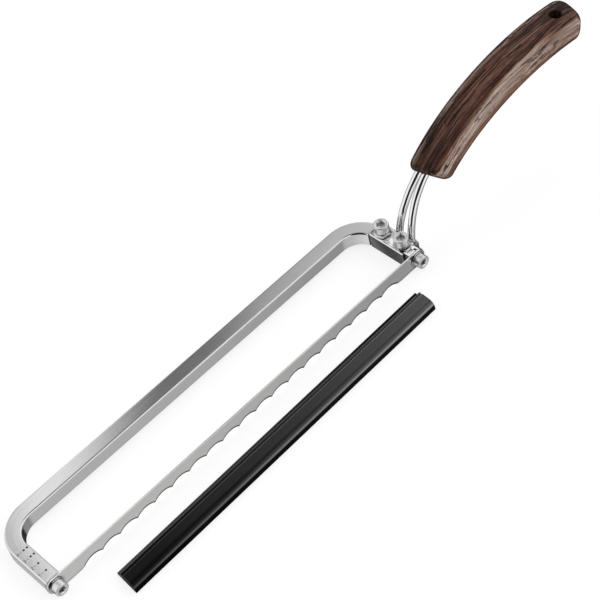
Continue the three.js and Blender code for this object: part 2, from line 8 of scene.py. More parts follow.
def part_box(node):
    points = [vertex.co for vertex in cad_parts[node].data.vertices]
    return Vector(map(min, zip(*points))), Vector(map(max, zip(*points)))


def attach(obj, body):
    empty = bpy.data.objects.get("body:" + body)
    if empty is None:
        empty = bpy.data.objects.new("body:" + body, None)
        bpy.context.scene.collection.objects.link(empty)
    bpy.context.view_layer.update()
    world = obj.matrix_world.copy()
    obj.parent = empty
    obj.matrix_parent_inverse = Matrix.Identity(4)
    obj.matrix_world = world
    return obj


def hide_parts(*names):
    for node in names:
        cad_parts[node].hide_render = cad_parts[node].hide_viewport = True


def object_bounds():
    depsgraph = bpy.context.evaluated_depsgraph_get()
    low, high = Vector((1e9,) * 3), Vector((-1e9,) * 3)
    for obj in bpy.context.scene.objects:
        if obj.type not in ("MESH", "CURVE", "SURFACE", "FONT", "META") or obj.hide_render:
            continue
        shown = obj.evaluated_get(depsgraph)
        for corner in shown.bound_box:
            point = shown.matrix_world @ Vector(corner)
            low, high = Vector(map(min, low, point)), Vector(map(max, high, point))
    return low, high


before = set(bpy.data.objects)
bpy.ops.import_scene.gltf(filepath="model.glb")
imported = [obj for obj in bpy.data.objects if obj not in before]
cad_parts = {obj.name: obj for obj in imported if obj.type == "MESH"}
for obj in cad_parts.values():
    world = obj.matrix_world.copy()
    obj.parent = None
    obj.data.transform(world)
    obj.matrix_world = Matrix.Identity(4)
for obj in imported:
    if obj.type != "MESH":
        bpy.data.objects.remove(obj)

# Uncapping knife: a square-bar bow that stretches a scalloped band blade, a clamp block
# with two bent rods and a curved walnut handle, and a loose channel guard.
# The bow's back runs along X and its legs point to -Y, where the blade joins them. The tip
# is at -X and the heel at +X; the handle rises from the heel to +X and +Z. The guard lies
# along X, on the -Y side of the blade.
# Shapes are in millimetres until a mesh is made; the scene, materials and lights are in metres.

MM = 0.001


def as_lists(box):
    return [[float(c) for c in corner] for corner in box]


def box_mm(node):
    """Lower and upper corner of a CAD node, in mm."""
    lo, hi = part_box(node)
    return np.array([c / MM for c in lo]), np.array([c / MM for c in hi])


CAD_BOX = as_lists(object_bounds())


# ------------------------------------------------------------------ node helpers
class Nodes:
    """Adds nodes to one emptied tree; most calls hand back the new node's output."""

    def __init__(self, tree):
        self.tree = tree
        tree.nodes.clear()

    def new(self, kind, inputs=None, **settings):
        node = self.tree.nodes.new(kind)
        for key, value in settings.items():
            setattr(node, key, value)
        return self.put(node, inputs or {})

    def put(self, node, inputs):
        """Links sockets and sets plain values."""
        for key, value in inputs.items():
            if isinstance(value, bpy.types.NodeSocket):
                self.tree.links.new(value, node.inputs[key])
            else:
                node.inputs[key].default_value = value
        return node

    def math(self, operation, first, second=0.0):
        return self.new("ShaderNodeMath", {0: first, 1: second}, operation=operation).outputs[0]

    def add(self, first, second):
        return self.math("ADD", first, second)

    def sub(self, first, second):
        return self.math("SUBTRACT", first, second)

    def mul(self, first, second):
        return self.math("MULTIPLY", first, second)

    def swing(self, value, amount):
        """A 0..1 value turned into a swing about zero, `amount` wide."""
        return self.mul(self.sub(value, 0.5), amount)

    def noise(self, vector, scale, detail, roughness, distortion=0.0):
        return self.new("ShaderNodeTexNoise", {
            "Vector": vector, "Scale": scale, "Detail": detail, "Roughness": roughness,
            "Distortion": distortion}).outputs["Fac"]

    def stretched(self, vector, stretch, detail, roughness, offset=(0, 0, 0), distortion=0.0):
        """Noise with its own frequency on each axis."""
        mapping = self.new("ShaderNodeMapping",
                           {"Vector": vector, "Scale": stretch, "Location": offset})
        return self.noise(mapping.outputs[0], 1.0, detail, roughness, distortion)

    def ramp(self, position, stops):
        node = self.new("ShaderNodeValToRGB", {0: position})
        elements = node.color_ramp.elements
        while len(elements) < len(stops):
            elements.new(0.5)
        for element, (place, colour) in zip(elements, stops):
            element.position = place
            element.color = (*colour, 1)
        return node.outputs[0]

    def mix(self, mask, first, second):
        """First colour where the mask is 0, second where it is 1."""
        first, second = ((*c, 1) if isinstance(c, tuple) else c for c in (first, second))
        return self.new("ShaderNodeMix", {0: mask, 6: first, 7: second},
                        data_type="RGBA", blend_type="MIX").outputs[2]

    def remap(self, value, start, end, low=0.0, high=1.0, curve="LINEAR"):
        """Goes from `low` at `start` to `high` at `end`."""
        return self.new("ShaderNodeMapRange", {0: value, 1: start, 2: end, 3: low, 4: high},
                        interpolation_type=curve).outputs[0]

    def ease(self, value, start, end, low=0.0, high=1.0):
        return self.remap(value, start, end, low, high, "SMOOTHSTEP")

    def bump(self, height, strength, distance):
        return self.new("ShaderNodeBump", {
            "Height": height, "Strength": strength, "Distance": distance}).outputs[0]

    def split(self, vector):
        return self.new("ShaderNodeSeparateXYZ", {0: vector}).outputs

    def scale_vector(self, vector, factor):
        return self.new("ShaderNodeVectorMath", {0: vector, "Scale": factor},
                        operation="SCALE").outputs[0]

    def attribute(self, name, output="Fac"):
        return self.new("ShaderNodeAttribute", attribute_name=name).outputs[output]

    def geometry(self, output):
        return self.new("ShaderNodeNewGeometry").outputs[output]

    def coordinates(self):
        return self.new("ShaderNodeTexCoord").outputs

    def mix_shader(self, mask, first, second):
        return self.new("ShaderNodeMixShader", {0: mask, 1: first, 2: second}).outputs[0]

    def edge_light(self, radius):
        """1 on the corners that get a painted highlight, 0 elsewhere, from the bevelled normal
        against the true one.
        """
        bevel = self.new("ShaderNodeBevel", {"Radius": radius}, samples=4)
        dot = self.new("ShaderNodeVectorMath",
                       {0: bevel.outputs[0], 1: self.geometry("Normal")},
                       operation="DOT_PRODUCT")
        return self.remap(dot.outputs["Value"], 0.985, 0.9)

    def crevice(self, reach, shut, clear):
        """0 in gaps, sockets and under heads, 1 on open faces; mostly used to place painted shade.
        """
        occlusion = self.new("ShaderNodeAmbientOcclusion", {"Distance": reach}, samples=6)
        return self.ease(occlusion.outputs["AO"], shut, clear)


def principled(name):
    mat = bpy.data.materials.new(name)
    mat.use_nodes = True
    nodes = Nodes(mat.node_tree)
    output = nodes.new("ShaderNodeOutputMaterial")
    shader = nodes.new("ShaderNodeBsdfPrincipled")
    nodes.put(output, {0: shader.outputs[0]})
    return mat, nodes, shader


# ------------------------------------------------------------------ materials
# Frequencies (along, across) the brushing, per mm on a UV map and per metre on an object.
GRAIN_UV = {"fine": (0.035, 9.0), "coarse": (0.012, 1.6)}
GRAIN_OBJECT = {"fine": (35, 9000), "coarse": (12, 1500)}


def grain_stretch(direction, size, scale):
    """Noise stretch for brushing along U of a sweep ("uv") or along an object axis."""
    if direction == "uv":
        along, across = GRAIN_UV[size]
        return (along * scale, across * scale, 1)
    along, across = GRAIN_OBJECT[size]
    return tuple((along if axis == direction else across) * scale for axis in "xyz")


def steel(name, colour, roughness, bump, edge, grain="uv", grain_scale=1.0, flank_shade=0.0,
          underside_shade=0.0, gap=(0.35, 0.8), reach=0.0035):
    """Brushed steel. `edge`, `flank_shade` and `underside_shade` are how far a painted highlight
    whitens worn corners, painted shade darkens and dulls steep faces and painted shade blackens
    the ground underside; `gap` and `reach` set the painted shade in crevices."""
    mat, nodes, shader = principled(name)
    coords = nodes.coordinates()
    surface = coords["UV" if grain == "uv" else "Object"]
    fine = nodes.stretched(surface, grain_stretch(grain, "fine", grain_scale),
                           detail=4.0, roughness=0.7)
    coarse = nodes.stretched(surface, grain_stretch(grain, "coarse", grain_scale),
                             detail=3.0, roughness=0.6)
    cloud = nodes.noise(coords["Object"], scale=55.0, detail=3.0, roughness=0.55)
    tone = nodes.add(nodes.swing(fine, amount=0.16), nodes.swing(coarse, amount=0.20))
    tone = nodes.add(tone, nodes.swing(cloud, amount=0.10))
    colour = nodes.scale_vector(colour, nodes.add(tone, 1.0))
    if flank_shade:                                     # painted shade: steep faces away from the top go darker, and duller
        slope = nodes.math("ABSOLUTE", nodes.split(nodes.geometry("Normal"))[2])
        flank = nodes.ease(slope, 0.25, 0.6, low=1.0, high=0.0)
        colour = nodes.mix(nodes.mul(flank, flank_shade), colour, (0.09, 0.09, 0.088))
        roughness = nodes.add(nodes.mul(flank, 0.16), roughness)
    if underside_shade:                                     # painted shade: the honed edge under the scallops, which faces down, goes near black
        facing_up = nodes.split(nodes.geometry("True Normal"))[2]
        underside_shade_mask = nodes.remap(facing_up, -0.12, -0.22, high=underside_shade)
        underside_shade_mask = nodes.mul(underside_shade_mask, nodes.remap(fine, 0.3, 0.7, low=0.85))
        colour = nodes.mix(underside_shade_mask, colour, (0.02, 0.02, 0.02))
    if edge:                                       # worn corners are smoother, and a painted highlight makes them whiter
        worn_corner_highlight = nodes.edge_light(radius=0.0007)
        colour = nodes.mix(nodes.mul(worn_corner_highlight, edge), colour, (1.0, 1.0, 1.0))
        roughness = nodes.sub(roughness, nodes.mul(worn_corner_highlight, 0.08))
    # painted shade: near black in gaps, sockets and under heads
    colour = nodes.mix(nodes.crevice(reach, *gap), (0.012, 0.012, 0.012), colour)
    roughness = nodes.add(roughness, nodes.swing(coarse, amount=0.08))
    roughness = nodes.add(roughness, nodes.swing(cloud, amount=0.05))
    nodes.put(shader, {
        "Base Color": colour, "Metallic": 1.0,
        "Roughness": nodes.math("MAXIMUM", roughness, 0.05),
        "Normal": nodes.bump(fine, strength=bump, distance=0.00002)})
    return mat


BOW_STEEL = steel("bow_brushed_steel", (0.80, 0.80, 0.80), roughness=0.10, bump=0.20, edge=0.0)
BLADE_STEEL = steel("blade_ground_steel", (0.92, 0.92, 0.91), roughness=0.14, bump=0.25,
                    edge=0.0, grain_scale=1.2, underside_shade=0.99, gap=(0.45, 0.86))
BLOCK_STEEL = steel("block_milled_steel", (0.82, 0.82, 0.825), roughness=0.13, bump=0.16,
                    edge=0.5, grain="y", grain_scale=0.8, flank_shade=0.80)
PLATE_STEEL = steel("end_plate_steel", (0.82, 0.82, 0.825), roughness=0.13, bump=0.14,
                    edge=0.4, grain="z", grain_scale=0.8, flank_shade=0.55)
SCREW_STEEL = steel("screw_turned_steel", (0.84, 0.84, 0.84), roughness=0.37, bump=0.12,
                    edge=0.7, grain_scale=0.7, gap=(0.27, 0.74), reach=0.003)
NUT_STEEL = steel("nut_turned_steel", (0.80, 0.80, 0.80), roughness=0.24, bump=0.12,
                  edge=0.3, grain="z", grain_scale=0.7)
WASHER_STEEL = steel("washer_turned_steel", (0.78, 0.78, 0.78), roughness=0.2, bump=0.12,
                     edge=0.3, grain="z", grain_scale=0.7)
SPRING_STEEL = steel("spring_steel", (0.60, 0.60, 0.60), roughness=0.28, bump=0.12,
                     edge=0.2, grain="z", grain_scale=0.7)


def chrome():
    mat, nodes, shader = principled("polished_rod")
    uv = nodes.coordinates()["UV"]
    bands = nodes.stretched(uv, (0.04, 1.2, 1), detail=3.0, roughness=0.6)
    draw = nodes.stretched(uv, (0.02, 14.0, 1), detail=3.0, roughness=0.7)
    colour = nodes.mix(nodes.remap(bands, 0.35, 0.7), (0.93, 0.93, 0.935), (0.86, 0.86, 0.865))
    roughness = nodes.add(nodes.remap(bands, 0.3, 0.7, low=0.02, high=0.04),
                          nodes.mul(draw, 0.03))
    nodes.put(shader, {"Base Color": colour, "Metallic": 1.0, "Roughness": roughness})
    return mat


ROD_CHROME = chrome()

# Noises that make the wood figure: stretch per mm (along, across, through), detail,
# roughness, offset and distortion.
WOOD_FIGURE = [
    ((0.012, 0.16, 0.14), 2.0, 0.5, (9, 1, 2)),           # broad
    ((0.010, 0.30, 0.24), 4.0, 0.66),                     # rings
    ((0.013, 0.62, 0.50), 4.0, 0.72, (3, 7, 1)),          # streak
    ((0.035, 1.5, 1.5), 3.0, 0.7, (11, 2, 5)),            # fine
    ((0.11, 4.4, 4.4), 2.0, 0.5, (1, 9, 4)),              # pores
    ((0.060, 0.50, 0.50), 5.0, 0.74, (5, 5, 9), 1.0),     # fleck
]
# Ring colours of each kind of wood: (position in the ring noise, colour).
HEARTWOOD = [(0.34, (0.016, 0.0060, 0.0040)), (0.43, (0.056, 0.0235, 0.016)),
             (0.50, (0.134, 0.054, 0.035)), (0.57, (0.200, 0.092, 0.061)),
             (0.68, (0.30, 0.165, 0.118))]
SAPWOOD = [(0.32, (0.15, 0.088, 0.064)), (0.43, (0.33, 0.215, 0.170)),
           (0.52, (0.51, 0.365, 0.305)), (0.66, (0.70, 0.55, 0.48))]
WARM_WOOD = [(0.34, (0.13, 0.055, 0.028)), (0.5, (0.30, 0.152, 0.088)),
             (0.66, (0.45, 0.26, 0.165))]


def swayed_grain(nodes, grain, along, across, through):
    """Grain coordinates with a slow bend and a little raggedness; also the ragged noise."""
    warp = nodes.stretched(grain, (0.016, 0.05, 0.05), detail=2.0, roughness=0.5)
    ragged = nodes.stretched(grain, (0.16, 0.5, 0.5), detail=3.0, roughness=0.6,
                             offset=(2, 4, 8))
    sway = nodes.add(nodes.swing(warp, amount=9.0), nodes.swing(ragged, amount=1.3))
    swayed = nodes.new("ShaderNodeCombineXYZ", {
        0: along, 1: nodes.add(across, sway), 2: nodes.add(through, nodes.mul(sway, 0.7))})
    return swayed.outputs[0], ragged


def heartwood(nodes, rings, broad, streak):
    colour = nodes.ramp(rings, HEARTWOOD)
    # broad dark bands, near-black streaks, paler streaks
    colour = nodes.mix(nodes.remap(broad, 0.56, 0.68, high=0.75), colour, (0.034, 0.016, 0.011))
    colour = nodes.mix(nodes.remap(streak, 0.525, 0.56, high=0.92), colour,
                       (0.008, 0.0040, 0.0030))
    return nodes.mix(nodes.remap(streak, 0.44, 0.34, high=0.6), colour, (0.27, 0.175, 0.138))


def sapwood(nodes, rings, fleck, streak):
    colour = nodes.ramp(rings, SAPWOOD)
    # black flecks, then brown streaks
    colour = nodes.mix(nodes.remap(fleck, 0.545, 0.58, high=0.92), colour,
                       (0.020, 0.013, 0.010))
    return nodes.mix(nodes.remap(streak, 0.56, 0.66, high=0.6), colour, (0.10, 0.066, 0.052))


def blade_side_wood(nodes, heart, across, through, rings, streak, ragged, fleck):
    """Warm brown on the side towards the blade, with pale sapwood along its upper corner."""
    side = nodes.add(nodes.mul(across, -1.0), nodes.swing(rings, amount=9.0))
    side = nodes.add(side, nodes.mul(nodes.sub(through, 4.0), -0.12))
    in_sapwood = nodes.ease(side, 8.6, 11.2)
    height = nodes.add(through, nodes.swing(ragged, amount=6.0))
    in_sapwood = nodes.mul(in_sapwood, nodes.ease(height, -2.2, 0.2))
    pale = sapwood(nodes, rings, fleck, streak)
    warm = nodes.ramp(rings, WARM_WOOD)
    warm = nodes.mix(nodes.remap(streak, 0.54, 0.64, high=0.8), warm, (0.022, 0.012, 0.009))
    colour = nodes.mix(nodes.ease(side, 8.0, 9.8), heart, warm)
    return nodes.mix(in_sapwood, colour, pale)


def streaks_and_painted_shade(nodes, colour, along, across, through, streak, ragged):
    # the first 10 mm, at the rods, is darker
    ends = nodes.mul(nodes.ease(along, 0.0, 10.0, low=1.0, high=0.0),
                     nodes.remap(ragged, 0.42, 0.56))
    colour = nodes.mix(nodes.mul(ends, 0.75), colour, (0.020, 0.011, 0.008))
    # place across the handle, as a part of its half width, which grows along it
    wide = nodes.math("DIVIDE", across, nodes.add(nodes.mul(along, 0.0176), 11.25))
    # pale lines along the corner away from the blade, and dark ones between them
    pale = nodes.mul(nodes.ease(wide, 0.42, 0.60), nodes.remap(streak, 0.50, 0.455))
    colour = nodes.mix(nodes.mul(pale, 0.75), colour, (0.36, 0.27, 0.23))
    rim = nodes.mul(nodes.ease(wide, 0.45, 0.60), nodes.remap(streak, 0.50, 0.53))
    colour = nodes.mix(nodes.mul(rim, 0.85), colour, (0.010, 0.006, 0.005))
    # painted shade: the outermost edge and the underside go dark
    outer_and_under_shade = nodes.math("MAXIMUM", nodes.ease(wide, 0.84, 0.92), nodes.ease(through, -5.6, -7.4))
    colour = nodes.mix(nodes.mul(outer_and_under_shade, 0.9), colour, (0.012, 0.007, 0.005))
    # painted shade: faces turned away from the viewer go dark
    facing = nodes.new("ShaderNodeLayerWeight", {"Blend": 0.5}).outputs["Facing"]
    turned_away_shade = nodes.mul(nodes.ease(facing, 0.56, 0.80),
                       nodes.remap(streak, 0.40, 0.48, low=0.30))
    return nodes.mix(nodes.mul(turned_away_shade, 0.93), colour, (0.008, 0.005, 0.004))


def walnut():
    mat, nodes, shader = principled("walnut")
    grain = nodes.attribute("grain", "Vector")           # (along, across, through), mm
    along, across, through = nodes.split(grain)
    swayed, ragged = swayed_grain(nodes, grain, along, across, through)
    broad, rings, streak, fine, pores, fleck = [
        nodes.stretched(swayed, *figure) for figure in WOOD_FIGURE]
    colour = heartwood(nodes, rings, broad, streak)
    colour = blade_side_wood(nodes, colour, across, through, rings, streak, ragged, fleck)
    colour = streaks_and_painted_shade(nodes, colour, along, across, through, streak, ragged)
    colour = nodes.mix(nodes.remap(pores, 0.60, 0.68, high=0.7), colour, (0.012, 0.007, 0.005))
    # painted shade: near black in the crevices at the rod sockets and the hole
    colour = nodes.mix(nodes.crevice(reach=0.006, shut=0.45, clear=0.92),
                       (0.0015, 0.0012, 0.001), colour)
    colour = nodes.scale_vector(colour, nodes.add(nodes.swing(fine, amount=2.5), 1.04))
    # pores and streaks are sunk below the fine grain
    height = nodes.sub(nodes.mul(fine, 0.5), nodes.mul(nodes.remap(pores, 0.58, 0.68), 0.9))
    height = nodes.sub(height, nodes.mul(nodes.remap(streak, 0.54, 0.64), 0.8))
    nodes.put(shader, {
        "Base Color": colour,
        "Roughness": nodes.remap(fine, 0.3, 0.7, low=0.45, high=0.6),
        "Specular IOR Level": 0.13, "Coat Weight": 0.03, "Coat Roughness": 0.3,
        "Normal": nodes.bump(height, strength=0.45, distance=0.00014)})
    return mat


WALNUT = walnut()


def plastic():
    mat, nodes, shader = principled("black_extruded_plastic")
    coords = nodes.coordinates()
    length = nodes.split(coords["UV"])[0]                # mm along the guard
    drag = nodes.stretched(coords["UV"], (0.02, 3.0, 1), detail=4.0, roughness=0.65)
    cloud = nodes.stretched(coords["Object"], (22, 90, 90), detail=3.0, roughness=0.5)
    dust = nodes.noise(coords["Object"], scale=1500.0, detail=3.0, roughness=0.6)
    ridge, lip, flank = [nodes.attribute(name) for name in ("ridge", "lip", "flank")]

    def by_part(body_value, lip_value):
        """One value on the body of the guard and another on its lip."""
        return nodes.add(nodes.mul(body_value, nodes.remap(lip, 0.0, 1.0, low=1.0, high=0.0)),
                         nodes.mul(lip_value, lip))

    def gaps():
        return nodes.crevice(reach=0.004, shut=0.45, clear=0.85)

    colour = nodes.mix(nodes.remap(cloud, 0.3, 0.7),
                       (0.0022, 0.0022, 0.0021), (0.0042, 0.0042, 0.0040))
    colour = nodes.mix(nodes.remap(dust, 0.64, 0.76, high=0.22), colour, (0.03, 0.03, 0.03))
    # painted highlight along the ridges, broken by the drag lines: the body is palest at one end
    # and the lip at the other
    ridge_highlight = nodes.mul(ridge, nodes.remap(drag, 0.25, 0.75, low=0.55))
    highlight_strength = by_part(nodes.remap(length, 0.0, 240.0, low=0.25),
                       nodes.remap(length, 0.0, 220.0, low=0.95, high=0.10))
    colour = nodes.mix(nodes.mul(ridge_highlight, highlight_strength), colour, (0.36, 0.36, 0.355))
    # painted shade: near black in the gaps
    colour = nodes.mix(gaps(), (0.0005, 0.0005, 0.0005), colour)
    # the shine fades in gaps and on the flank, and changes along the guard
    shine = nodes.remap(gaps(), 0.0, 1.0, low=0.03, high=0.5)
    shine = nodes.mul(shine, nodes.remap(flank, 0.0, 1.0, low=1.0, high=0.05))
    shine = nodes.mul(shine, by_part(nodes.remap(length, 20.0, 235.0, low=0.35, high=2.6),
                                     nodes.remap(length, 10.0, 200.0, low=2.2, high=0.12)))
    nodes.put(shader, {
        "Base Color": colour, "Specular IOR Level": shine,
        "Roughness": nodes.remap(drag, 0.3, 0.7, low=0.22, high=0.32),
        "Normal": nodes.bump(drag, strength=0.10, distance=0.00003)})
    return mat


GUARD_PLASTIC = plastic()


def marking(name, speckle, dark, light, roughness, metallic):
    mat, nodes, shader = principled(name)
    noise = nodes.noise(nodes.coordinates()["Object"], scale=speckle, detail=2.0, roughness=0.5)
    nodes.put(shader, {"Base Color": nodes.mix(noise, dark, light),
                       "Roughness": roughness, "Metallic": metallic})
    return mat


INK = marking("scale_ink", speckle=3000.0, dark=(0.006, 0.006, 0.007),
              light=(0.03, 0.03, 0.032), roughness=0.6, metallic=0.0)
ETCHING = marking("scale_etching", speckle=2600.0, dark=(0.05, 0.05, 0.05),
                  light=(0.12, 0.12, 0.12), roughness=0.62, metallic=0.4)


# ------------------------------------------------------------------ mesh helpers
def add_object(name, mesh):
    ob = bpy.data.objects.new(name, mesh)
    bpy.context.scene.collection.objects.link(ob)
    return ob


def shade_smooth(mesh, sharp):
    """Smooth faces, with edges steeper than `sharp` degrees kept sharp."""
    mesh.polygons.foreach_set("use_smooth", [True] * len(mesh.polygons))
    mesh.set_sharp_from_angle(angle=math.radians(sharp))


def finish_mesh(ob, sharp, weighted):
    shade_smooth(ob.data, sharp)
    if weighted:
        modifier = ob.modifiers.new("flat_faces_stay_flat", "WEIGHTED_NORMAL")
        modifier.weight = 100
        modifier.keep_sharp = True


def assign(ob, body, replaced=None):
    """Parents the object to the empty of the body it rides on, and hides the CAD node it replaces.
    """
    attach(ob, body)
    if replaced:
        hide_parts(replaced)


def build(name, shell, mat, sharp, weighted=True, uv_map=True, merge=1e-7):
    mesh = bpy.data.meshes.new(name)
    mesh.from_pydata([tuple(float(c) * MM for c in v) for v in shell.verts], [], shell.faces)
    if uv_map:
        layer = mesh.uv_layers.new(name="sweep")
        layer.data.foreach_set("uv", np.array(shell.uvs, np.float32).ravel())
    bm = bmesh.new()
    bm.from_mesh(mesh)
    bmesh.ops.remove_doubles(bm, verts=bm.verts, dist=merge)
    bmesh.ops.recalc_face_normals(bm, faces=bm.faces)
    bm.to_mesh(mesh)
    bm.free()
    ob = add_object(name, mesh)
    mesh.materials.append(mat)
    finish_mesh(ob, sharp, weighted)
    return ob


def mesh_points_mm(mesh):
    return np.array([v.co for v in mesh.vertices], float) / MM


def circle(count):
    """Cosine and sine of evenly spaced angles."""
    angles = [2 * math.pi * j / count for j in range(count)]
    return [(math.cos(a), math.sin(a)) for a in angles]


class Shell:
    """Collects capped sweeps, with U along and V around each of them, in mm."""

    def __init__(self):
        self.verts, self.faces, self.uvs = [], [], []

    def sweep(self, rings, along=None):
        """Joins rings of equal size; `along` is the U of each ring, or is measured."""
        rings = [np.asarray(ring, float) for ring in rings]
        count, base = len(rings[0]), len(self.verts)
        if along is None:
            along = [0.0]
            for a, b in zip(rings[:-1], rings[1:]):
                centre_a, centre_b = a.mean(0), b.mean(0)
                radius_a = np.linalg.norm(a[0] - centre_a)
                radius_b = np.linalg.norm(b[0] - centre_b)
                along.append(along[-1] + float(np.linalg.norm(centre_a - centre_b))
                             + float(abs(radius_a - radius_b)))
        middle = rings[len(rings) // 2]
        around = [0.0]
        for j in range(count):
            around.append(around[-1] + float(np.linalg.norm(middle[(j + 1) % count] - middle[j])))
        for ring in rings:
            self.verts.extend(ring.tolist())
        for i in range(len(rings) - 1):
            here, there = base + i * count, base + (i + 1) * count
            for j in range(count):
                k = (j + 1) % count
                self.faces.append((here + j, here + k, there + k, there + j))
                self.uvs += [(along[i], around[j]), (along[i], around[j + 1]),
                             (along[i + 1], around[j + 1]), (along[i + 1], around[j])]
        for i in (0, len(rings) - 1):
            self.faces.append(tuple(base + i * count + j for j in range(count)))
            centre = rings[i].mean(0)
            self.uvs += [(along[i] + float(p[0] - centre[0]),
                          float(p[1] - centre[1] + p[2] - centre[2])) for p in rings[i]]
        return self


def bezier(curve, u):
    weights = ((1 - u) ** 3, 3 * (1 - u) ** 2 * u, 3 * (1 - u) * u * u, u ** 3)
    return tuple(sum(weights[i] * curve[i][axis] for i in range(4)) for axis in (0, 1))


# -------------------------------------------------------------------- bow bar
bar_lo, bar_hi = box_mm("bow_bar")
BAR = bar_hi[2] - bar_lo[2]                        # side of the square bar
TIP_X, HEEL_X = bar_lo[0] + BAR / 2, bar_hi[0] - BAR / 2
BAR_Z = (bar_lo[2] + bar_hi[2]) / 2
BAR_TOP = bar_hi[2]
LEG_END = bar_lo[1]                                # y of the end of the tip leg
BAR_CORNER = 1.15                                  # radius along the bar's corners
BAR_CHAMFER = 0.35                                 # at the end of the tip leg
BEND_R = 18.5
BEND_STEPS = 30
SHOULDER = box_mm("clamp_block")[1][1] + 0.3       # y where the bar is faced off
HEEL_RUNOUT = 2.0                                  # arc left before the shoulder

TENON_X, TENON_Z, TENON_R = HEEL_X - 0.1, BAR_Z - 0.6, 3.5
TENON_END = SHOULDER - 11.4
TENON_CHAMFER = 0.6
TENON_FLAT = 2.7                                   # height of the flat above the axis


def rounded_square(side, radius, steps):
    inset = side / 2 - radius
    points = []
    for x, y, start in ((-inset, -inset, 180), (inset, -inset, 270),
                        (inset, inset, 0), (-inset, inset, 90)):
        for i in range(steps + 1):
            a = math.radians(start + 90 * i / steps)
            points.append((x + radius * math.cos(a), y + radius * math.sin(a)))
    return points


BAR_PROFILE = rounded_square(BAR, BAR_CORNER, 6)


def heading_vector(heading):
    return math.cos(math.radians(heading)), math.sin(math.radians(heading))


def bar_ring(x, y, heading, scale=1.0):
    ahead_x, ahead_y = heading_vector(heading)
    return np.array([(x + ahead_y * p * scale, y - ahead_x * p * scale, BAR_Z + q * scale)
                     for p, q in BAR_PROFILE])


def bend_stations(centre_x, start, stop):
    """(x, y, heading) round a bend of the bar, between two angles in degrees."""
    stations = []
    for i in range(BEND_STEPS + 1):
        angle = start + (stop - start) * i / BEND_STEPS
        a = math.radians(angle)
        stations.append((centre_x + BEND_R * math.cos(a), -BEND_R + BEND_R * math.sin(a),
                         angle - 90))
    return stations


def tenon_rings():
    """Round tenon inside the block, with its flat for the adjusting screw."""
    rows = [(SHOULDER + 1.2, TENON_R, False), (SHOULDER - 1.6, TENON_R, False),
            (SHOULDER - 1.62, TENON_R, True), (TENON_END + TENON_CHAMFER, TENON_R, True),
            (TENON_END, TENON_R - TENON_CHAMFER, True)]      # y, radius, flat on top
    rings = []
    for y, radius, flat in rows:
        top = TENON_Z + (TENON_FLAT if flat else TENON_R)
        rings.append([(TENON_X + radius * c, y, min(TENON_Z + radius * s, top))
                      for c, s in circle(40)])
    return rings


def bow():
    leg_start = LEG_END + BAR_CHAMFER
    stop = math.degrees(math.asin((SHOULDER + BEND_R) / BEND_R))
    heel_centre = HEEL_X - BEND_R
    stations = [(TIP_X, leg_start + (-BEND_R - LEG_END - BAR_CHAMFER) * k / 10, 90.0)
                for k in range(10)]
    stations += bend_stations(TIP_X + BEND_R, 180, 90)
    stations += [(TIP_X + BEND_R + (HEEL_X - TIP_X - 2 * BEND_R) * k / 40, 0.0, 0.0)
                 for k in range(1, 40)]
    stations += bend_stations(heel_centre, 90, stop + math.degrees(HEEL_RUNOUT / BEND_R))

    rings = [bar_ring(TIP_X, LEG_END, 90.0, (BAR / 2 - BAR_CHAMFER) / (BAR / 2))]
    along = [0.0]
    last_x, last_y = TIP_X, LEG_END
    for x, y, heading in stations:
        along.append(along[-1] + math.hypot(x - last_x, y - last_y))
        rings.append(bar_ring(x, y, heading))
        last_x, last_y = x, y
    # the heel end is faced off just above the clamp block
    x = heel_centre + BEND_R * math.cos(math.radians(stop))
    faced = bar_ring(x, SHOULDER, stop - 90)
    ahead = heading_vector(stop - 90)
    for point in faced:
        distance = (SHOULDER - point[1]) / ahead[1]
        point[0] += ahead[0] * distance
        point[1] += ahead[1] * distance
    rings.append(faced)
    along.append(along[-1] + HEEL_RUNOUT)

    shell = Shell().sweep(rings, along).sweep(tenon_rings())
    ob = build("bow_square_bar", shell, BOW_STEEL, sharp=50)
    assign(ob, "knife", "bow_bar")
    return ob


bow_bar = bow()

# -------------------------------------------------------------------- blade
SCALLOP_PITCH, SCALLOP_COUNT, SCALLOP_DEPTH = 13.0, 19, 2.6
SCALLOP_R = (SCALLOP_PITCH ** 2 / 4 + SCALLOP_DEPTH ** 2) / (2 * SCALLOP_DEPTH)
SCALLOP_INSET = 19.0                               # first scallop, from the tip screw's axis
POINT_RISE = 0.3                                   # scallop points above the plain lower edge
RISE_LENGTH = 3.0
BLADE_CHAMFER = 0.16


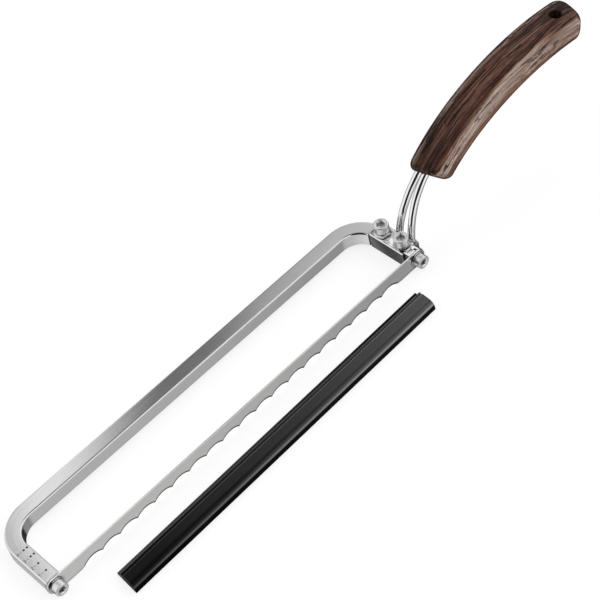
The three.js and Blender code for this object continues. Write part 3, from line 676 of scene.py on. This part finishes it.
def blade():
    lo, hi = box_mm("cutting_blade")
    back_y, front_y = hi[1], lo[1]
    mid_z, half = (lo[2] + hi[2]) / 2, (hi[2] - lo[2]) / 2
    straight_from, straight_to = lo[0] + half, hi[0] - half      # centres of the round ends
    first = straight_from + SCALLOP_INSET
    last = first + SCALLOP_COUNT * SCALLOP_PITCH
    point_z = mid_z - half + POINT_RISE

    stations = [straight_from - half * math.cos(math.radians(a)) for a in np.linspace(4, 90, 16)]
    stations += list(np.linspace(straight_from, first - RISE_LENGTH, 6))[1:]
    stations += [first - 2, first - 1]
    for i in range(SCALLOP_COUNT):
        stations += list(np.linspace(first + i * SCALLOP_PITCH,
                                     first + (i + 1) * SCALLOP_PITCH, 19))[:-1]
    stations += [last, last + 1, last + 2, last + RISE_LENGTH]
    stations += list(np.linspace(last + RISE_LENGTH, straight_to, 6))[1:]
    stations += [straight_to + half * math.sin(math.radians(a))
                 for a in np.linspace(0, 86, 16)][1:]

    def half_height(x):
        overrun = max(straight_from - x, x - straight_to, 0)
        return math.sqrt(max(half ** 2 - overrun ** 2, 0))

    def lower_edge(x):
        if x < first - RISE_LENGTH or x > last + RISE_LENGTH:
            return mid_z - half_height(x)
        if x < first:
            return mid_z - half + POINT_RISE * (x - first + RISE_LENGTH) / RISE_LENGTH
        if x > last:
            return point_z - POINT_RISE * (x - last) / RISE_LENGTH
        offset = (x - first) % SCALLOP_PITCH - SCALLOP_PITCH / 2
        sagitta = SCALLOP_R - math.sqrt(SCALLOP_R * SCALLOP_R - offset * offset)
        return point_z + SCALLOP_DEPTH - sagitta

    rings = []
    for x in stations:
        low, top = lower_edge(x), mid_z + half_height(x)
        ground = max(0.0, min(1.0, (x - first + 2.0) / 2.0, (last + 2.0 - x) / 2.0))
        bevel_height = 0.22 + 1.45 * ground
        cut_back = BLADE_CHAMFER + 0.32 * ground   # of the front face, at the lower edge
        narrow = min(1.0, (top - low) / 3.0)       # shrinks the chamfers at the blade's ends
        rings.append([
            (x, back_y, top - BLADE_CHAMFER * narrow), (x, back_y - BLADE_CHAMFER, top),
            (x, front_y + BLADE_CHAMFER, top), (x, front_y, top - BLADE_CHAMFER * narrow),
            (x, front_y, (low + top) / 2), (x, front_y, low + bevel_height * narrow),
            (x, front_y + cut_back, low), (x, back_y, low + 0.02),
            (x, back_y, (low + top) / 2)])
    shell = Shell().sweep(rings, stations)
    ob = build("scalloped_band_blade", shell, BLADE_STEEL, sharp=12, weighted=False)
    assign(ob, "knife", "cutting_blade")


blade()

# -------------------------------------------------------------------- screws
# Diameters of head and shank, height of the head, hex socket across flats and its depth.
SMALL_SCREW = dict(head=8.6, height=4.7, flats=4.0, socket=2.5, shank=4.8, pitch=0.8)
LARGE_SCREW = dict(head=9.5, height=5.2, flats=5.0, socket=2.8, shank=5.7, pitch=1.0)
SCREW_SIDES = 96
KNURLS = 48


def shank_rows(size, length, turn):
    """(height, radius) from the screw's end up to the underside of the head."""
    radius, pitch = size["shank"] / 2, size["pitch"]
    rows = [(-length, radius - 0.75)]
    steps = max(8, int(length / pitch * 6))
    for i in range(steps + 1):
        z = -length + 0.35 + (length - 0.35 - 0.5) * i / steps
        phase = (z / pitch - turn / (2 * math.pi)) % 1.0
        depth = 0.45 * pitch * (1 - np.abs(2 * phase - 1))
        fade = min(1.0, i / 4.0, (steps - i) / 3.0)
        rows.append((z, radius - depth * fade))
    return rows + [(-0.3, radius), (0.0, radius)]


def head_rows(size, turn):
    """(height, radius) up the knurled head, over its rim and down the hex socket."""
    radius, height, flats = size["head"] / 2, size["height"], size["flats"]
    knurled = radius - 0.05 - 0.10 * (0.5 + 0.5 * np.cos(KNURLS * turn))
    knurl_top = height - 0.75
    rows = [(0.0, radius - 0.30), (0.06, radius - 0.12), (0.2, radius - 0.05),
            (0.32, radius - 0.05), (0.55, knurled), (knurl_top - 0.25, knurled),
            (knurl_top, radius - 0.03)]
    for a in np.radians(np.linspace(0, 90, 5)):    # rounded rim
        rows.append((height - 0.5 + 0.5 * math.sin(a), radius - 0.5 + 0.5 * math.cos(a) - 0.02))
    hexagon = (flats / 2) / np.cos((turn + math.pi / 6) % (math.pi / 3) - math.pi / 6)
    mouth = flats / math.sqrt(3) + 0.34
    floor_z = height - size["socket"]
    return rows + [(height, mouth + 0.12), (height - 0.05, mouth),
                   (height - 0.52, hexagon), (height - 0.54, hexagon),
                   (floor_z, hexagon), (floor_z - 0.02, hexagon * 0.97),
                   (floor_z - 0.05, flats * 0.42), (floor_z - 0.8, 0.12)]


def cap_screw(node, name, body, size, head_towards, spin):
    lo, hi = box_mm(node)
    height = size["height"]
    origin = (lo + hi) / 2                         # centre of the head's underside
    if head_towards == "+z":
        origin[2] = hi[2] - height
        length = hi[2] - lo[2] - height
    else:
        origin[1] = lo[1] + height
        length = hi[1] - lo[1] - height
    turn = np.arange(SCREW_SIDES) * 2 * math.pi / SCREW_SIDES
    angle = turn + math.radians(spin)
    rings, along = [], []
    last_z = last_radius = None
    for z, radius in shank_rows(size, length, turn) + head_rows(size, turn):
        x, y = radius * np.cos(angle), radius * np.sin(angle)
        level = np.full(SCREW_SIDES, z)
        columns = [x, y, level] if head_towards == "+z" else [x, -level, y]
        rings.append(np.stack(columns, 1) + origin)
        mean_radius = float(np.mean(radius))
        if along:
            along.append(along[-1] + math.hypot(z - last_z, mean_radius - last_radius))
        else:
            along.append(0.0)
        last_z, last_radius = z, mean_radius
    shell = Shell().sweep(rings, along)
    shell.uvs = [(v, u) for u, v in shell.uvs]     # turning marks run round the screw
    ob = build(name, shell, SCREW_STEEL, sharp=38)
    assign(ob, body, node)


cap_screw("tip_blade_screw", "tip_cap_screw", "tip_screw", SMALL_SCREW, "-y", spin=12)
cap_screw("heel_blade_screw", "heel_cap_screw", "heel_screw", SMALL_SCREW, "-y", spin=24)
cap_screw("adjuster_screw", "adjusting_cap_screw", "adjuster", LARGE_SCREW, "+z", spin=8)
cap_screw("clamp_screw", "clamping_cap_screw", "clamp", LARGE_SCREW, "+z", spin=20)

# -------------------------------------------------------------------- rods
# Bezier control points (x, z) of both rods, from the block to the handle.
ROD_CURVE = [(149.2, 3.0), (149.5, 15.2), (157.7, 34.6), (172.3, 44.2)]
ROD_D, ROD_Y = 4.5, -32.0
BLOCK_SPREAD, HANDLE_SPREAD = 4.95, 2.5            # each rod's offset from ROD_Y
ROD_IN = 28.0                                      # straight length inside the handle


def rod_rings(side, diameter, count, steps, inside):
    """Rings of one rod; `side` is 1 towards +Y and -1 towards -Y."""
    points = []
    for i in range(steps + 1):
        u = i / steps
        x, z = bezier(ROD_CURVE, u)
        spread = BLOCK_SPREAD + (HANDLE_SPREAD - BLOCK_SPREAD) * (u * u * (3 - 2 * u))
        points.append(np.array([x, ROD_Y + side * spread, z]))
    (x2, z2), (x3, z3) = ROD_CURVE[2:]
    ahead = np.array([x3 - x2, 0, z3 - z2])
    ahead = ahead / np.linalg.norm(ahead)
    for k in range(1, 5):
        points.append(points[steps] + ahead * inside * k / 4)
    rings = []
    for i, point in enumerate(points):
        tangent = points[min(i + 1, len(points) - 1)] - points[max(i - 1, 0)]
        tangent = tangent / np.linalg.norm(tangent)
        across = np.array([0.0, 1.0, 0.0]) - tangent * tangent[1]
        across = across / np.linalg.norm(across)
        third = np.cross(tangent, across)
        rings.append([point + diameter / 2 * (c * across + s * third)
                      for c, s in circle(count)])
    return rings


def rod(side, name, node):
    shell = Shell().sweep(rod_rings(side, ROD_D, 40, 56, ROD_IN))
    ob = build(name, shell, ROD_CHROME, sharp=60, weighted=False)
    assign(ob, "knife", node)
    return ob


rods = [rod(1, "rod_by_the_spine", "spine_side_rod"),
        rod(-1, "rod_by_the_blade", "blade_side_rod")]

# -------------------------------------------------------------------- handle
# Bezier control points (x, z) of the axis. Pairs are (rod end, free end).
HANDLE_CURVE = [(172.5, 42.35), (203.2, 68.3), (257.6, 77.4), (305.3, 67.2)]
HANDLE_Y = -35.2
HANDLE_WIDTH = (22.5, 27.6)
HANDLE_THICKNESS = (22.4, 17.0)
HANDLE_POWER = 3.4                                 # superellipse power of the section
END_SLANT = (0.19, 0.324)                          # slant of the ends across the width
END_LENGTH = (0.044, 0.062)                        # rounded part, as a part of the axis
END_FACE = (0.62, 0.36)                            # size of the end face against the section
SLANT_REACH = 0.35                                 # part of the axis that feels the slant
HOLE_AT, HOLE_D = 0.893, 7.4
# Eased rim of the hanging hole: (depth below the face, extra radius).
HOLE_RIM = [(-4, 4.75), (0.0, 0.75), (0.35, 0.28), (0.8, 0.04), (1.1, 0)]
SOCKET_PLAY, SOCKET_EXTRA = 0.5, 0.4               # diameter and depth beyond the rod's


def handle_frame(u):
    """Point on the axis, tangent and upward normal."""
    x, z = bezier(HANDLE_CURVE, u)
    weights = (3 * (1 - u) ** 2, 6 * (1 - u) * u, 3 * u * u)
    slope_x, slope_z = [
        sum(weights[i] * (HANDLE_CURVE[i + 1][axis] - HANDLE_CURVE[i][axis]) for i in range(3))
        for axis in (0, 1)]
    length = math.hypot(slope_x, slope_z)
    tangent = np.array([slope_x / length, 0, slope_z / length])
    return np.array([x, HANDLE_Y, z]), tangent, np.array([-tangent[2], 0, tangent[0]])


def between(ends, u):
    return ends[0] + (ends[1] - ends[0]) * u


def handle_stations():
    """(place on the axis, scale of the section), with both ends rounded."""
    (near, far), (near_face, far_face) = END_LENGTH, END_FACE
    quarter = [math.pi / 2 * i / 10 for i in range(11)]
    stations = [(0.0, near_face * 0.5), (0.0, near_face * 0.85)]
    stations += [(near * (1 - math.cos(a)), near_face + (1 - near_face) * math.sin(a))
                 for a in quarter]
    stations += [(near + (1 - near - far) * i / 80, 1.0) for i in range(1, 80)]
    stations += [(1 - far * (1 - math.cos(a)), far_face + (1 - far_face) * math.sin(a))
                 for a in reversed(quarter)]
    return stations + [(1.0, far_face * 0.8), (1.0, far_face * 0.45)]


def handle_rings():
    rings = []
    for u, scale in handle_stations():
        point, tangent, normal = handle_frame(u)
        half_width, half_thickness = between(HANDLE_WIDTH, u) / 2, between(HANDLE_THICKNESS, u) / 2
        near = max(0, 1 - u / SLANT_REACH) ** 2
        far = max(0, (u - (1 - SLANT_REACH)) / SLANT_REACH) ** 2
        slant = END_SLANT[1] * far - END_SLANT[0] * near
        ring = []
        for c, s in circle(96):
            reach = scale / (abs(c) ** HANDLE_POWER + abs(s) ** HANDLE_POWER) ** (1 / HANDLE_POWER)
            across = reach * c * half_width
            ring.append(point + np.array([0, across, 0]) + normal * (reach * s * half_thickness)
                        + tangent * across * slant)
        rings.append(ring)
    return rings


def handle_cutter():
    """The hanging hole with eased rims, and the two rod sockets."""
    point, tangent, normal = handle_frame(HOLE_AT)
    half = between(HANDLE_THICKNESS, HOLE_AT) / 2
    side = np.cross(normal, tangent)
    radius = HOLE_D / 2
    profile = [(-half + depth, radius + extra) for depth, extra in HOLE_RIM]
    profile += [(half - depth, radius + extra) for depth, extra in reversed(HOLE_RIM)]
    shell = Shell().sweep([[point + normal * height + r * (c * tangent + s * side)
                            for c, s in circle(48)] for height, r in profile])
    for rod_side in (1, -1):
        shell.sweep(rod_rings(rod_side, ROD_D + SOCKET_PLAY, 32, 40, ROD_IN + SOCKET_EXTRA)[24:])
    return build("cutter", shell, WALNUT, sharp=50, weighted=False, uv_map=False)


def add_grain(mesh):
    """Solid wood coordinates: along, across and through the bent handle, in mm."""
    points = mesh_points_mm(mesh)
    frames = [handle_frame(u) for u in np.linspace(-0.05, 1.05, 900)]
    axis, tangents, normals = [np.array(column) for column in zip(*frames)]
    steps = np.linalg.norm(np.diff(axis, axis=0), axis=1)
    run = np.concatenate([[0], np.cumsum(steps)])
    nearest = np.argmin((points[:, None, 0] - axis[None, :, 0]) ** 2
                        + (points[:, None, 2] - axis[None, :, 2]) ** 2, axis=1)
    offset = points - axis[nearest]
    grain = np.stack([run[nearest] + (offset * tangents[nearest]).sum(1),
                      points[:, 1] - HANDLE_Y, (offset * normals[nearest]).sum(1)], 1)
    attribute = mesh.attributes.new("grain", "FLOAT_VECTOR", "POINT")
    attribute.data.foreach_set("vector", grain.astype(np.float32).ravel())


def handle():
    shell = Shell().sweep(handle_rings())
    ob = build("walnut_handle", shell, WALNUT, sharp=50, weighted=False, uv_map=False)
    cutter = handle_cutter()
    cut = ob.modifiers.new("cut", "BOOLEAN")
    cut.operation = "DIFFERENCE"
    cut.solver = "EXACT"
    cut.use_self = True
    cut.object = cutter
    bpy.context.view_layer.update()
    depsgraph = bpy.context.evaluated_depsgraph_get()
    mesh = bpy.data.meshes.new_from_object(ob.evaluated_get(depsgraph))
    ob.modifiers.clear()
    ob.data = mesh
    bpy.data.objects.remove(cutter)
    add_grain(mesh)
    finish_mesh(ob, sharp=42, weighted=True)
    assign(ob, "knife", "handle")


handle()

# -------------------------------------------------------------------- guard
GUARD_PLACE = (3.4, -81.15, -1.3)                  # mid-length, at the section's origin
GUARD_TURN = math.radians(0.93)                    # about Z
GUARD_SKEW = 0.085                                 # ends cut askew: x shift per mm of y
GUARD_LENGTH = 240.0
GUARD_WIDTH, GUARD_HEIGHT = 17.85, 6.2
GUARD_CHAMFER = 0.18                               # inset of the end faces
# Corners of the section, anticlockwise seen from +X: (y, z, rounding).
GUARD_SECTION = [
    (1.0, 0, .5), (16.9, 0, .4), (GUARD_WIDTH - .02, 0.75, .55), (17.2, 1.66, .35),
    (13.1, 1.7, .4), (12.3, 2.08, .3), (3.3, 1.52, .3), (2.62, 2.2, .4), (2.62, 4.0, .4),
    (3.3, 4.58, .4), (11.3, 4.32, .4), (12.0, 3.32, .35), (12.7, 3.12, .3), (13.28, 3.6, .3),
    (13.28, 5.2, .35), (12.7, 5.88, .3), (11.9, 5.88, .25), (11.5, 5.32, .15),
    (10.85, 5.32, .15), (10.42, GUARD_HEIGHT, .22), (10.0, GUARD_HEIGHT, .02),
    (9.9, GUARD_HEIGHT, .02), (4.4, GUARD_HEIGHT, 1.2), (3.1, 5.86, .1), (2.6, 5.68, .05),
    (2.3, 5.54, .05), (1.8, 5.28, .1), (1.5, 4.99, .05), (1.25, 4.72, .05), (0.98, 4.44, .05),
    (0.74, 4.08, .05), (0.55, 3.7, .05), (0.25, 3.05, .6), (0.0, 1.6, .5), (0.02, 0.3, .25),
]
# Ridges with a painted highlight: (y from, y to, z above, highlight strength).
GUARD_HIGHLIGHT_RIDGES = [(10.15, 10.7, 5.8, 1.0), (12.5, 13.2, 5.5, 0.60),
                (17.0, math.inf, 0.6, 0.55), (0.68, 1.3, 3.9, 0.9)]


def rounded_section(corners):
    """Every corner replaced by five points of a short arc."""
    points = []
    for i, (y, z, rounding) in enumerate(corners):
        corner = np.array((y, z))
        back = np.array(corners[i - 1][:2]) - corner
        ahead = np.array(corners[(i + 1) % len(corners)][:2]) - corner
        back_length, ahead_length = np.linalg.norm(back), np.linalg.norm(ahead)
        cut = min(rounding, back_length * 0.45, ahead_length * 0.45)
        start = corner + back / back_length * cut
        end = corner + ahead / ahead_length * cut
        for k in range(5):
            t = k / 4
            points.append((1 - t) ** 2 * start + 2 * t * (1 - t) * corner + t * t * end)
    return points


def inward_normals(points):
    normals = []
    for i in range(len(points)):
        tangent = points[(i + 1) % len(points)] - points[i - 1]
        tangent = tangent / (np.linalg.norm(tangent) + 1e-9)
        normals.append(np.array([-tangent[1], tangent[0]]))
    return normals


def section_masks(points):
    """Value of each painted-highlight, shine and part mask at every point of the section."""
    masks = {"ridge": [], "flank": [], "lip": []}
    for y, z in points:
        ridge_highlight = [amount for start, stop, above, amount in GUARD_HIGHLIGHT_RIDGES
                  if start < y < stop and z > above]
        masks["ridge"].append(ridge_highlight[0] if ridge_highlight else 0.0)
        masks["flank"].append(1.0 if (y < 0.7 and z < 4.0) or z < 0.4 else 0.0)
        masks["lip"].append(1.0 if y > 12.6 else 0.0)
    return masks


def guard():
    place_x, place_y, place_z = GUARD_PLACE
    cos_turn, sin_turn = math.cos(GUARD_TURN), math.sin(GUARD_TURN)
    section = rounded_section(GUARD_SECTION)
    normals = inward_normals(section)
    half = GUARD_LENGTH / 2
    stations = [(-half, GUARD_CHAMFER), (-half + 0.2, 0.0)]        # x, inset
    stations += [(x, 0.0) for x in np.linspace(-half + 4, half - 4, 59)]
    stations += [(half - 0.2, 0.0), (half, GUARD_CHAMFER)]
    rings = []
    for station, inset in stations:
        ring = []
        for point, normal in zip(section, normals):
            y, z = point[0] + normal[0] * inset, point[1] + normal[1] * inset
            x = station + GUARD_SKEW * y
            ring.append((place_x + x * cos_turn - y * sin_turn,
                         place_y + x * sin_turn + y * cos_turn, place_z + z))
        rings.append(ring)
    shell = Shell().sweep(rings, [x + half for x, _ in stations])
    ob = build("black_channel_guard", shell, GUARD_PLASTIC, sharp=34)

    # each vertex takes the masks of the nearest point of the section
    points = mesh_points_mm(ob.data)
    y = -(points[:, 0] - place_x) * sin_turn + (points[:, 1] - place_y) * cos_turn
    z = points[:, 2] - place_z
    outline = np.array(section)
    nearest = np.argmin((y[:, None] - outline[None, :, 0]) ** 2
                        + (z[:, None] - outline[None, :, 1]) ** 2, axis=1)
    for name, values in section_masks(section).items():
        attribute = ob.data.attributes.new(name, "FLOAT", "POINT")
        attribute.data.foreach_set("value", np.array(values, np.float32)[nearest])
    assign(ob, "guard", "blade_guard")


guard()


# ------------------------------------------------------- CAD nodes that stay
def keep(node, mat, bevel=0.0, sharp=30):
    """Gives a CAD piece its material and, if `bevel` (mm) is set, broken edges."""
    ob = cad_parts[node]
    ob.data.materials.clear()
    ob.data.materials.append(mat)
    shade_smooth(ob.data, sharp)
    if bevel:
        weld = ob.modifiers.new("weld", "WELD")
        weld.merge_threshold = 1e-6
        edges = ob.modifiers.new("broken_edges", "BEVEL")
        edges.limit_method = "ANGLE"
        edges.angle_limit = math.radians(32)
        edges.width = bevel * MM
        edges.segments = 2
        edges.harden_normals = True
        edges.use_clamp_overlap = True


keep("clamp_block", BLOCK_STEEL, bevel=0.22)
keep("end_plate", PLATE_STEEL, bevel=0.22)
keep("tip_blade_washer", WASHER_STEEL)
keep("heel_blade_washer", WASHER_STEEL)
keep("clamp_flat_washer", WASHER_STEEL)
keep("clamp_spring_washer", SPRING_STEEL)
keep("adjuster_lock_nut", NUT_STEEL, sharp=25)

for polished in (bow_bar, *rods):
    polished.visible_glossy = False                # they mirror the studio, not each other

# ------------------------------------------------------- depth scale on the tip leg
SCALE_ROWS = {1: -40.1, 2: -33.4, 3: -26.7, 4: -20.5}        # numeral: y
DOT_R = 0.68
DOT_X = (1.0, 3.3)                                 # from the leg's axis; rows 1, 2 have one dot
NUMERAL_X = -3.75
TICK_X = (-1.9, -0.9)
STROKE = 0.13                                      # half width of a stroke
MARK_BELOW, MARK_ABOVE = 0.05, 0.012               # the marks' extent about the bar's top
# Strokes of each numeral: polylines of (x, y) from its lower left corner.
NUMERALS = {
    1: [[(0.15, 1.55), (0.5, 2.0), (0.5, 0.0)]],
    2: [[(0.0, 1.55), (0.2, 1.9), (0.55, 2.0), (0.9, 1.8), (0.95, 1.4), (0.75, 1.0),
         (0.3, 0.45), (0.0, 0.0), (1.0, 0.0)]],
    3: [[(0.0, 1.75), (0.4, 2.0), (0.85, 1.85), (0.92, 1.45), (0.6, 1.08), (0.35, 1.05)],
        [(0.35, 1.05), (0.75, 0.98), (1.0, 0.6), (0.85, 0.15), (0.4, 0.0), (0.0, 0.25)]],
    4: [[(0.75, 0.0), (0.75, 2.0), (0.0, 0.65), (1.05, 0.65)]],
}


def scale_dots():
    shell = Shell()
    levels = [(-MARK_BELOW, DOT_R), (MARK_ABOVE, DOT_R), (0.02, 0.62)]      # z, radius
    for numeral, y in SCALE_ROWS.items():
        for offset in DOT_X[:1] if numeral < 3 else DOT_X:
            x = TIP_X + offset
            shell.sweep([[(x + r * c, y + r * s, BAR_TOP + z) for c, s in circle(20)]
                         for z, r in levels])
    ob = build("depth_scale_dots", shell, INK, sharp=40, weighted=False, uv_map=False)
    assign(ob, "knife")


def stroke_outline(start, end):
    """Corners of a straight stroke, run on a little past both ends."""
    (ax, ay), (bx, by) = start, end
    length = math.hypot(bx - ax, by - ay)
    dx, dy = (bx - ax) / length, (by - ay) / length
    side_x, side_y = -dy * STROKE, dx * STROKE
    over_x, over_y = dx * STROKE * 0.7, dy * STROKE * 0.7
    ax, ay, bx, by = ax - over_x, ay - over_y, bx + over_x, by + over_y
    return [(ax + side_x, ay + side_y), (ax - side_x, ay - side_y),
            (bx - side_x, by - side_y), (bx + side_x, by + side_y)]


def scale_numerals():
    shell = Shell()
    for numeral, y in SCALE_ROWS.items():
        lines = [[(TIP_X + NUMERAL_X + a, y - 1.0 + b) for a, b in line]
                 for line in NUMERALS[numeral]]
        lines.append([(TIP_X + x, y) for x in TICK_X])
        for line in lines:
            for start, end in zip(line[:-1], line[1:]):
                outline = stroke_outline(start, end)
                shell.sweep([[(u, v, BAR_TOP + z) for u, v in outline]
                             for z in (-MARK_BELOW, MARK_ABOVE)])
    ob = build("depth_scale_numerals", shell, ETCHING, sharp=30, weighted=False, uv_map=False,
               merge=1e-9)
    assign(ob, "knife")


scale_dots()
scale_numerals()

# ------------------------------------------------------------------ studio
# Brightness by azimuth in degrees, 0 at +Y and 90 at +X, for directions that look up,
# level and down.
UPPER = [(-180, .95), (-156, .95), (-151, .02), (-84, .02), (-79, 1.0), (-60, 1.0), (-10, .9),
         (8, .55), (14.6, .46), (15.6, .72), (16.8, 1.1), (18.4, 1.02), (19.5, .86),
         (20.6, .74), (21.6, .62), (22.5, .40), (23.3, .17), (25.7, .15), (28.9, .17),
         (29.8, .24), (30.6, .42), (32.4, .45), (35, .54), (38, .62), (45, 1.0), (60, 1.1),
         (90, 1.0), (180, .95)]
LEVEL = [(-180, .95), (-146, .95), (-140, .02), (-92, .01), (-86, .95), (-40, .95), (-12, .6),
         (0, .3), (20, .2), (50, .04), (110, .04), (128, .9), (150, 1.0), (180, .95)]
LOWER = [(-180, .56), (-158, .56), (-140, .62), (-70, .8), (-60, .3), (-52, .14), (-27, .14),
         (-19, .5), (-10, .55), (0, .3), (12, .12), (30, .05), (84, .02), (92, .25), (120, .3),
         (138, .27), (144, .31), (150, .42), (155, .48), (164, .52), (172, .54), (180, .56)]


def azimuth_stops(table):
    return [((azimuth + 180.0) / 360.0, (value,) * 3) for azimuth, value in table]


def studio_group():
    group = bpy.data.node_groups.new("studio_by_direction", "ShaderNodeTree")
    group.interface.new_socket("Direction", in_out="INPUT", socket_type="NodeSocketVector")
    group.interface.new_socket("Color", in_out="OUTPUT", socket_type="NodeSocketColor")
    nodes = Nodes(group)
    x, y, z = nodes.split(nodes.new("NodeGroupInput").outputs[0])
    turn = nodes.math("DIVIDE", nodes.math("ARCTAN2", x, y), 2 * math.pi)
    turn = nodes.add(turn, 0.5)
    # the upper pattern leans: 11 degrees of azimuth per unit of height below 0.78
    lean = nodes.mul(nodes.sub(0.78, z), 11.0 / 360.0)
    upper = nodes.ramp(nodes.add(turn, lean), azimuth_stops(UPPER))
    level = nodes.ramp(turn, azimuth_stops(LEVEL))
    lower = nodes.ramp(turn, azimuth_stops(LOWER))
    colour = nodes.mix(nodes.ease(z, -0.46, -0.32), lower, level)
    colour = nodes.mix(nodes.ease(z, 0.0, 0.14), colour, upper)
    # dark overhead
    colour = nodes.mix(nodes.ease(z, 0.87, 0.94), colour, (0.06, 0.06, 0.06))
    nodes.new("NodeGroupOutput", {0: colour})
    return group


STUDIO = studio_group()


def studio_world():
    """The studio for light and reflections, plain white for the camera."""
    world = bpy.data.worlds.new("studio")
    bpy.context.scene.world = world
    world.use_nodes = True
    nodes = Nodes(world.node_tree)
    studio = nodes.new("ShaderNodeGroup", {0: nodes.coordinates()["Generated"]},
                       node_tree=STUDIO).outputs[0]
    lit = nodes.new("ShaderNodeBackground", {"Color": studio, "Strength": 1.0})
    plain = nodes.new("ShaderNodeBackground", {"Color": (1, 1, 1, 1)})
    from_camera = nodes.new("ShaderNodeLightPath").outputs["Is Camera Ray"]
    surface = nodes.mix_shader(from_camera, lit.outputs[0], plain.outputs[0])
    nodes.new("ShaderNodeOutputWorld", {"Surface": surface})


studio_world()


def bench_material():
    """White to the camera, a mirror of the studio to reflections, clear from below."""
    mat = bpy.data.materials.new("white_bench")
    mat.use_nodes = True
    nodes = Nodes(mat.node_tree)

    def shader(kind, inputs):
        return nodes.new(kind, inputs).outputs[0]

    diffuse = shader("ShaderNodeBsdfDiffuse", {0: (0.86, 0.86, 0.86, 1)})
    faint = shader("ShaderNodeBsdfDiffuse", {0: (0.34, 0.34, 0.34, 1)})
    lift = shader("ShaderNodeEmission", {0: (1, 1, 1, 1), 1: 0.80})
    seen = shader("ShaderNodeAddShader", {0: faint, 1: lift})
    geometry = nodes.new("ShaderNodeNewGeometry").outputs
    outward = nodes.scale_vector(geometry["Incoming"], -1.0)
    studio = nodes.new("ShaderNodeGroup", {0: outward}, node_tree=STUDIO).outputs[0]
    mirror = shader("ShaderNodeEmission", {0: studio})
    ray = nodes.new("ShaderNodeLightPath").outputs
    surface = nodes.mix_shader(ray["Is Camera Ray"], diffuse, seen)
    surface = nodes.mix_shader(ray["Is Glossy Ray"], surface, mirror)
    clear = shader("ShaderNodeBsdfTransparent", {})
    surface = nodes.mix_shader(geometry["Backfacing"], surface, clear)
    nodes.new("ShaderNodeOutputMaterial", {0: surface})
    return mat


def bench_top():
    cells, size = 24, 6.0
    z = CAD_BOX[0][2] - 0.0002
    ticks = [-size / 2 + size * i / cells for i in range(cells + 1)]
    verts = [(x, y, z) for x in ticks for y in ticks]
    row = cells + 1
    corners = [i * row + j for i in range(cells) for j in range(cells)]
    mesh = bpy.data.meshes.new("bench_top")
    mesh.from_pydata(verts, [], [(a, a + row, a + row + 1, a + 1) for a in corners])
    add_object("bench_top", mesh)
    mesh.materials.append(bench_material())


bench_top()

LIGHT_TARGET = Vector((0.02, -0.03, 0.02))


def softbox(name, direction, distance, size, power):
    light = bpy.data.lights.new(name, "AREA")
    light.shape = "RECTANGLE"
    light.size, light.size_y = size
    light.energy = power
    ob = add_object(name, light)
    towards = Vector(direction).normalized()
    ob.location = LIGHT_TARGET + towards * distance
    ob.rotation_euler = (-towards).to_track_quat("-Z", "Y").to_euler()
    ob.visible_glossy = False


softbox("front_softbox", direction=(0.45, -0.72, 0.53), distance=1.6, size=(0.75, 0.55),
        power=1.6)
softbox("top_softbox", direction=(-0.15, 0.25, 1.0), distance=1.8, size=(1.6, 1.4), power=1.2)


# ------------------------------------------------------------------ camera
def add_camera():
    camera = bpy.data.cameras.new("camera")
    camera.sensor_width = 36.0
    camera.lens = 108.78
    camera.clip_start = 0.05
    camera.clip_end = 20
    ob = add_object("camera", camera)
    right = Vector((0.7, -0.6915, -0.1786)).normalized()
    back = Vector((-0.3552, -0.5541, 0.7529)).normalized()
    up = back.cross(right).normalized()
    right = up.cross(back).normalized()            # squared up to the other two
    pose = Matrix.Identity(4)
    for i in range(3):
        pose[i][0], pose[i][1], pose[i][2] = right[i], up[i], back[i]
    pose.translation = Vector((-0.30116, -0.60386, 0.80647))
    ob.matrix_world = pose
    bpy.context.scene.camera = ob


add_camera()
view = bpy.context.scene.view_settings
view.view_transform = "Standard"
view.look = "None"
view.exposure = 0.0
view.gamma = 1.0
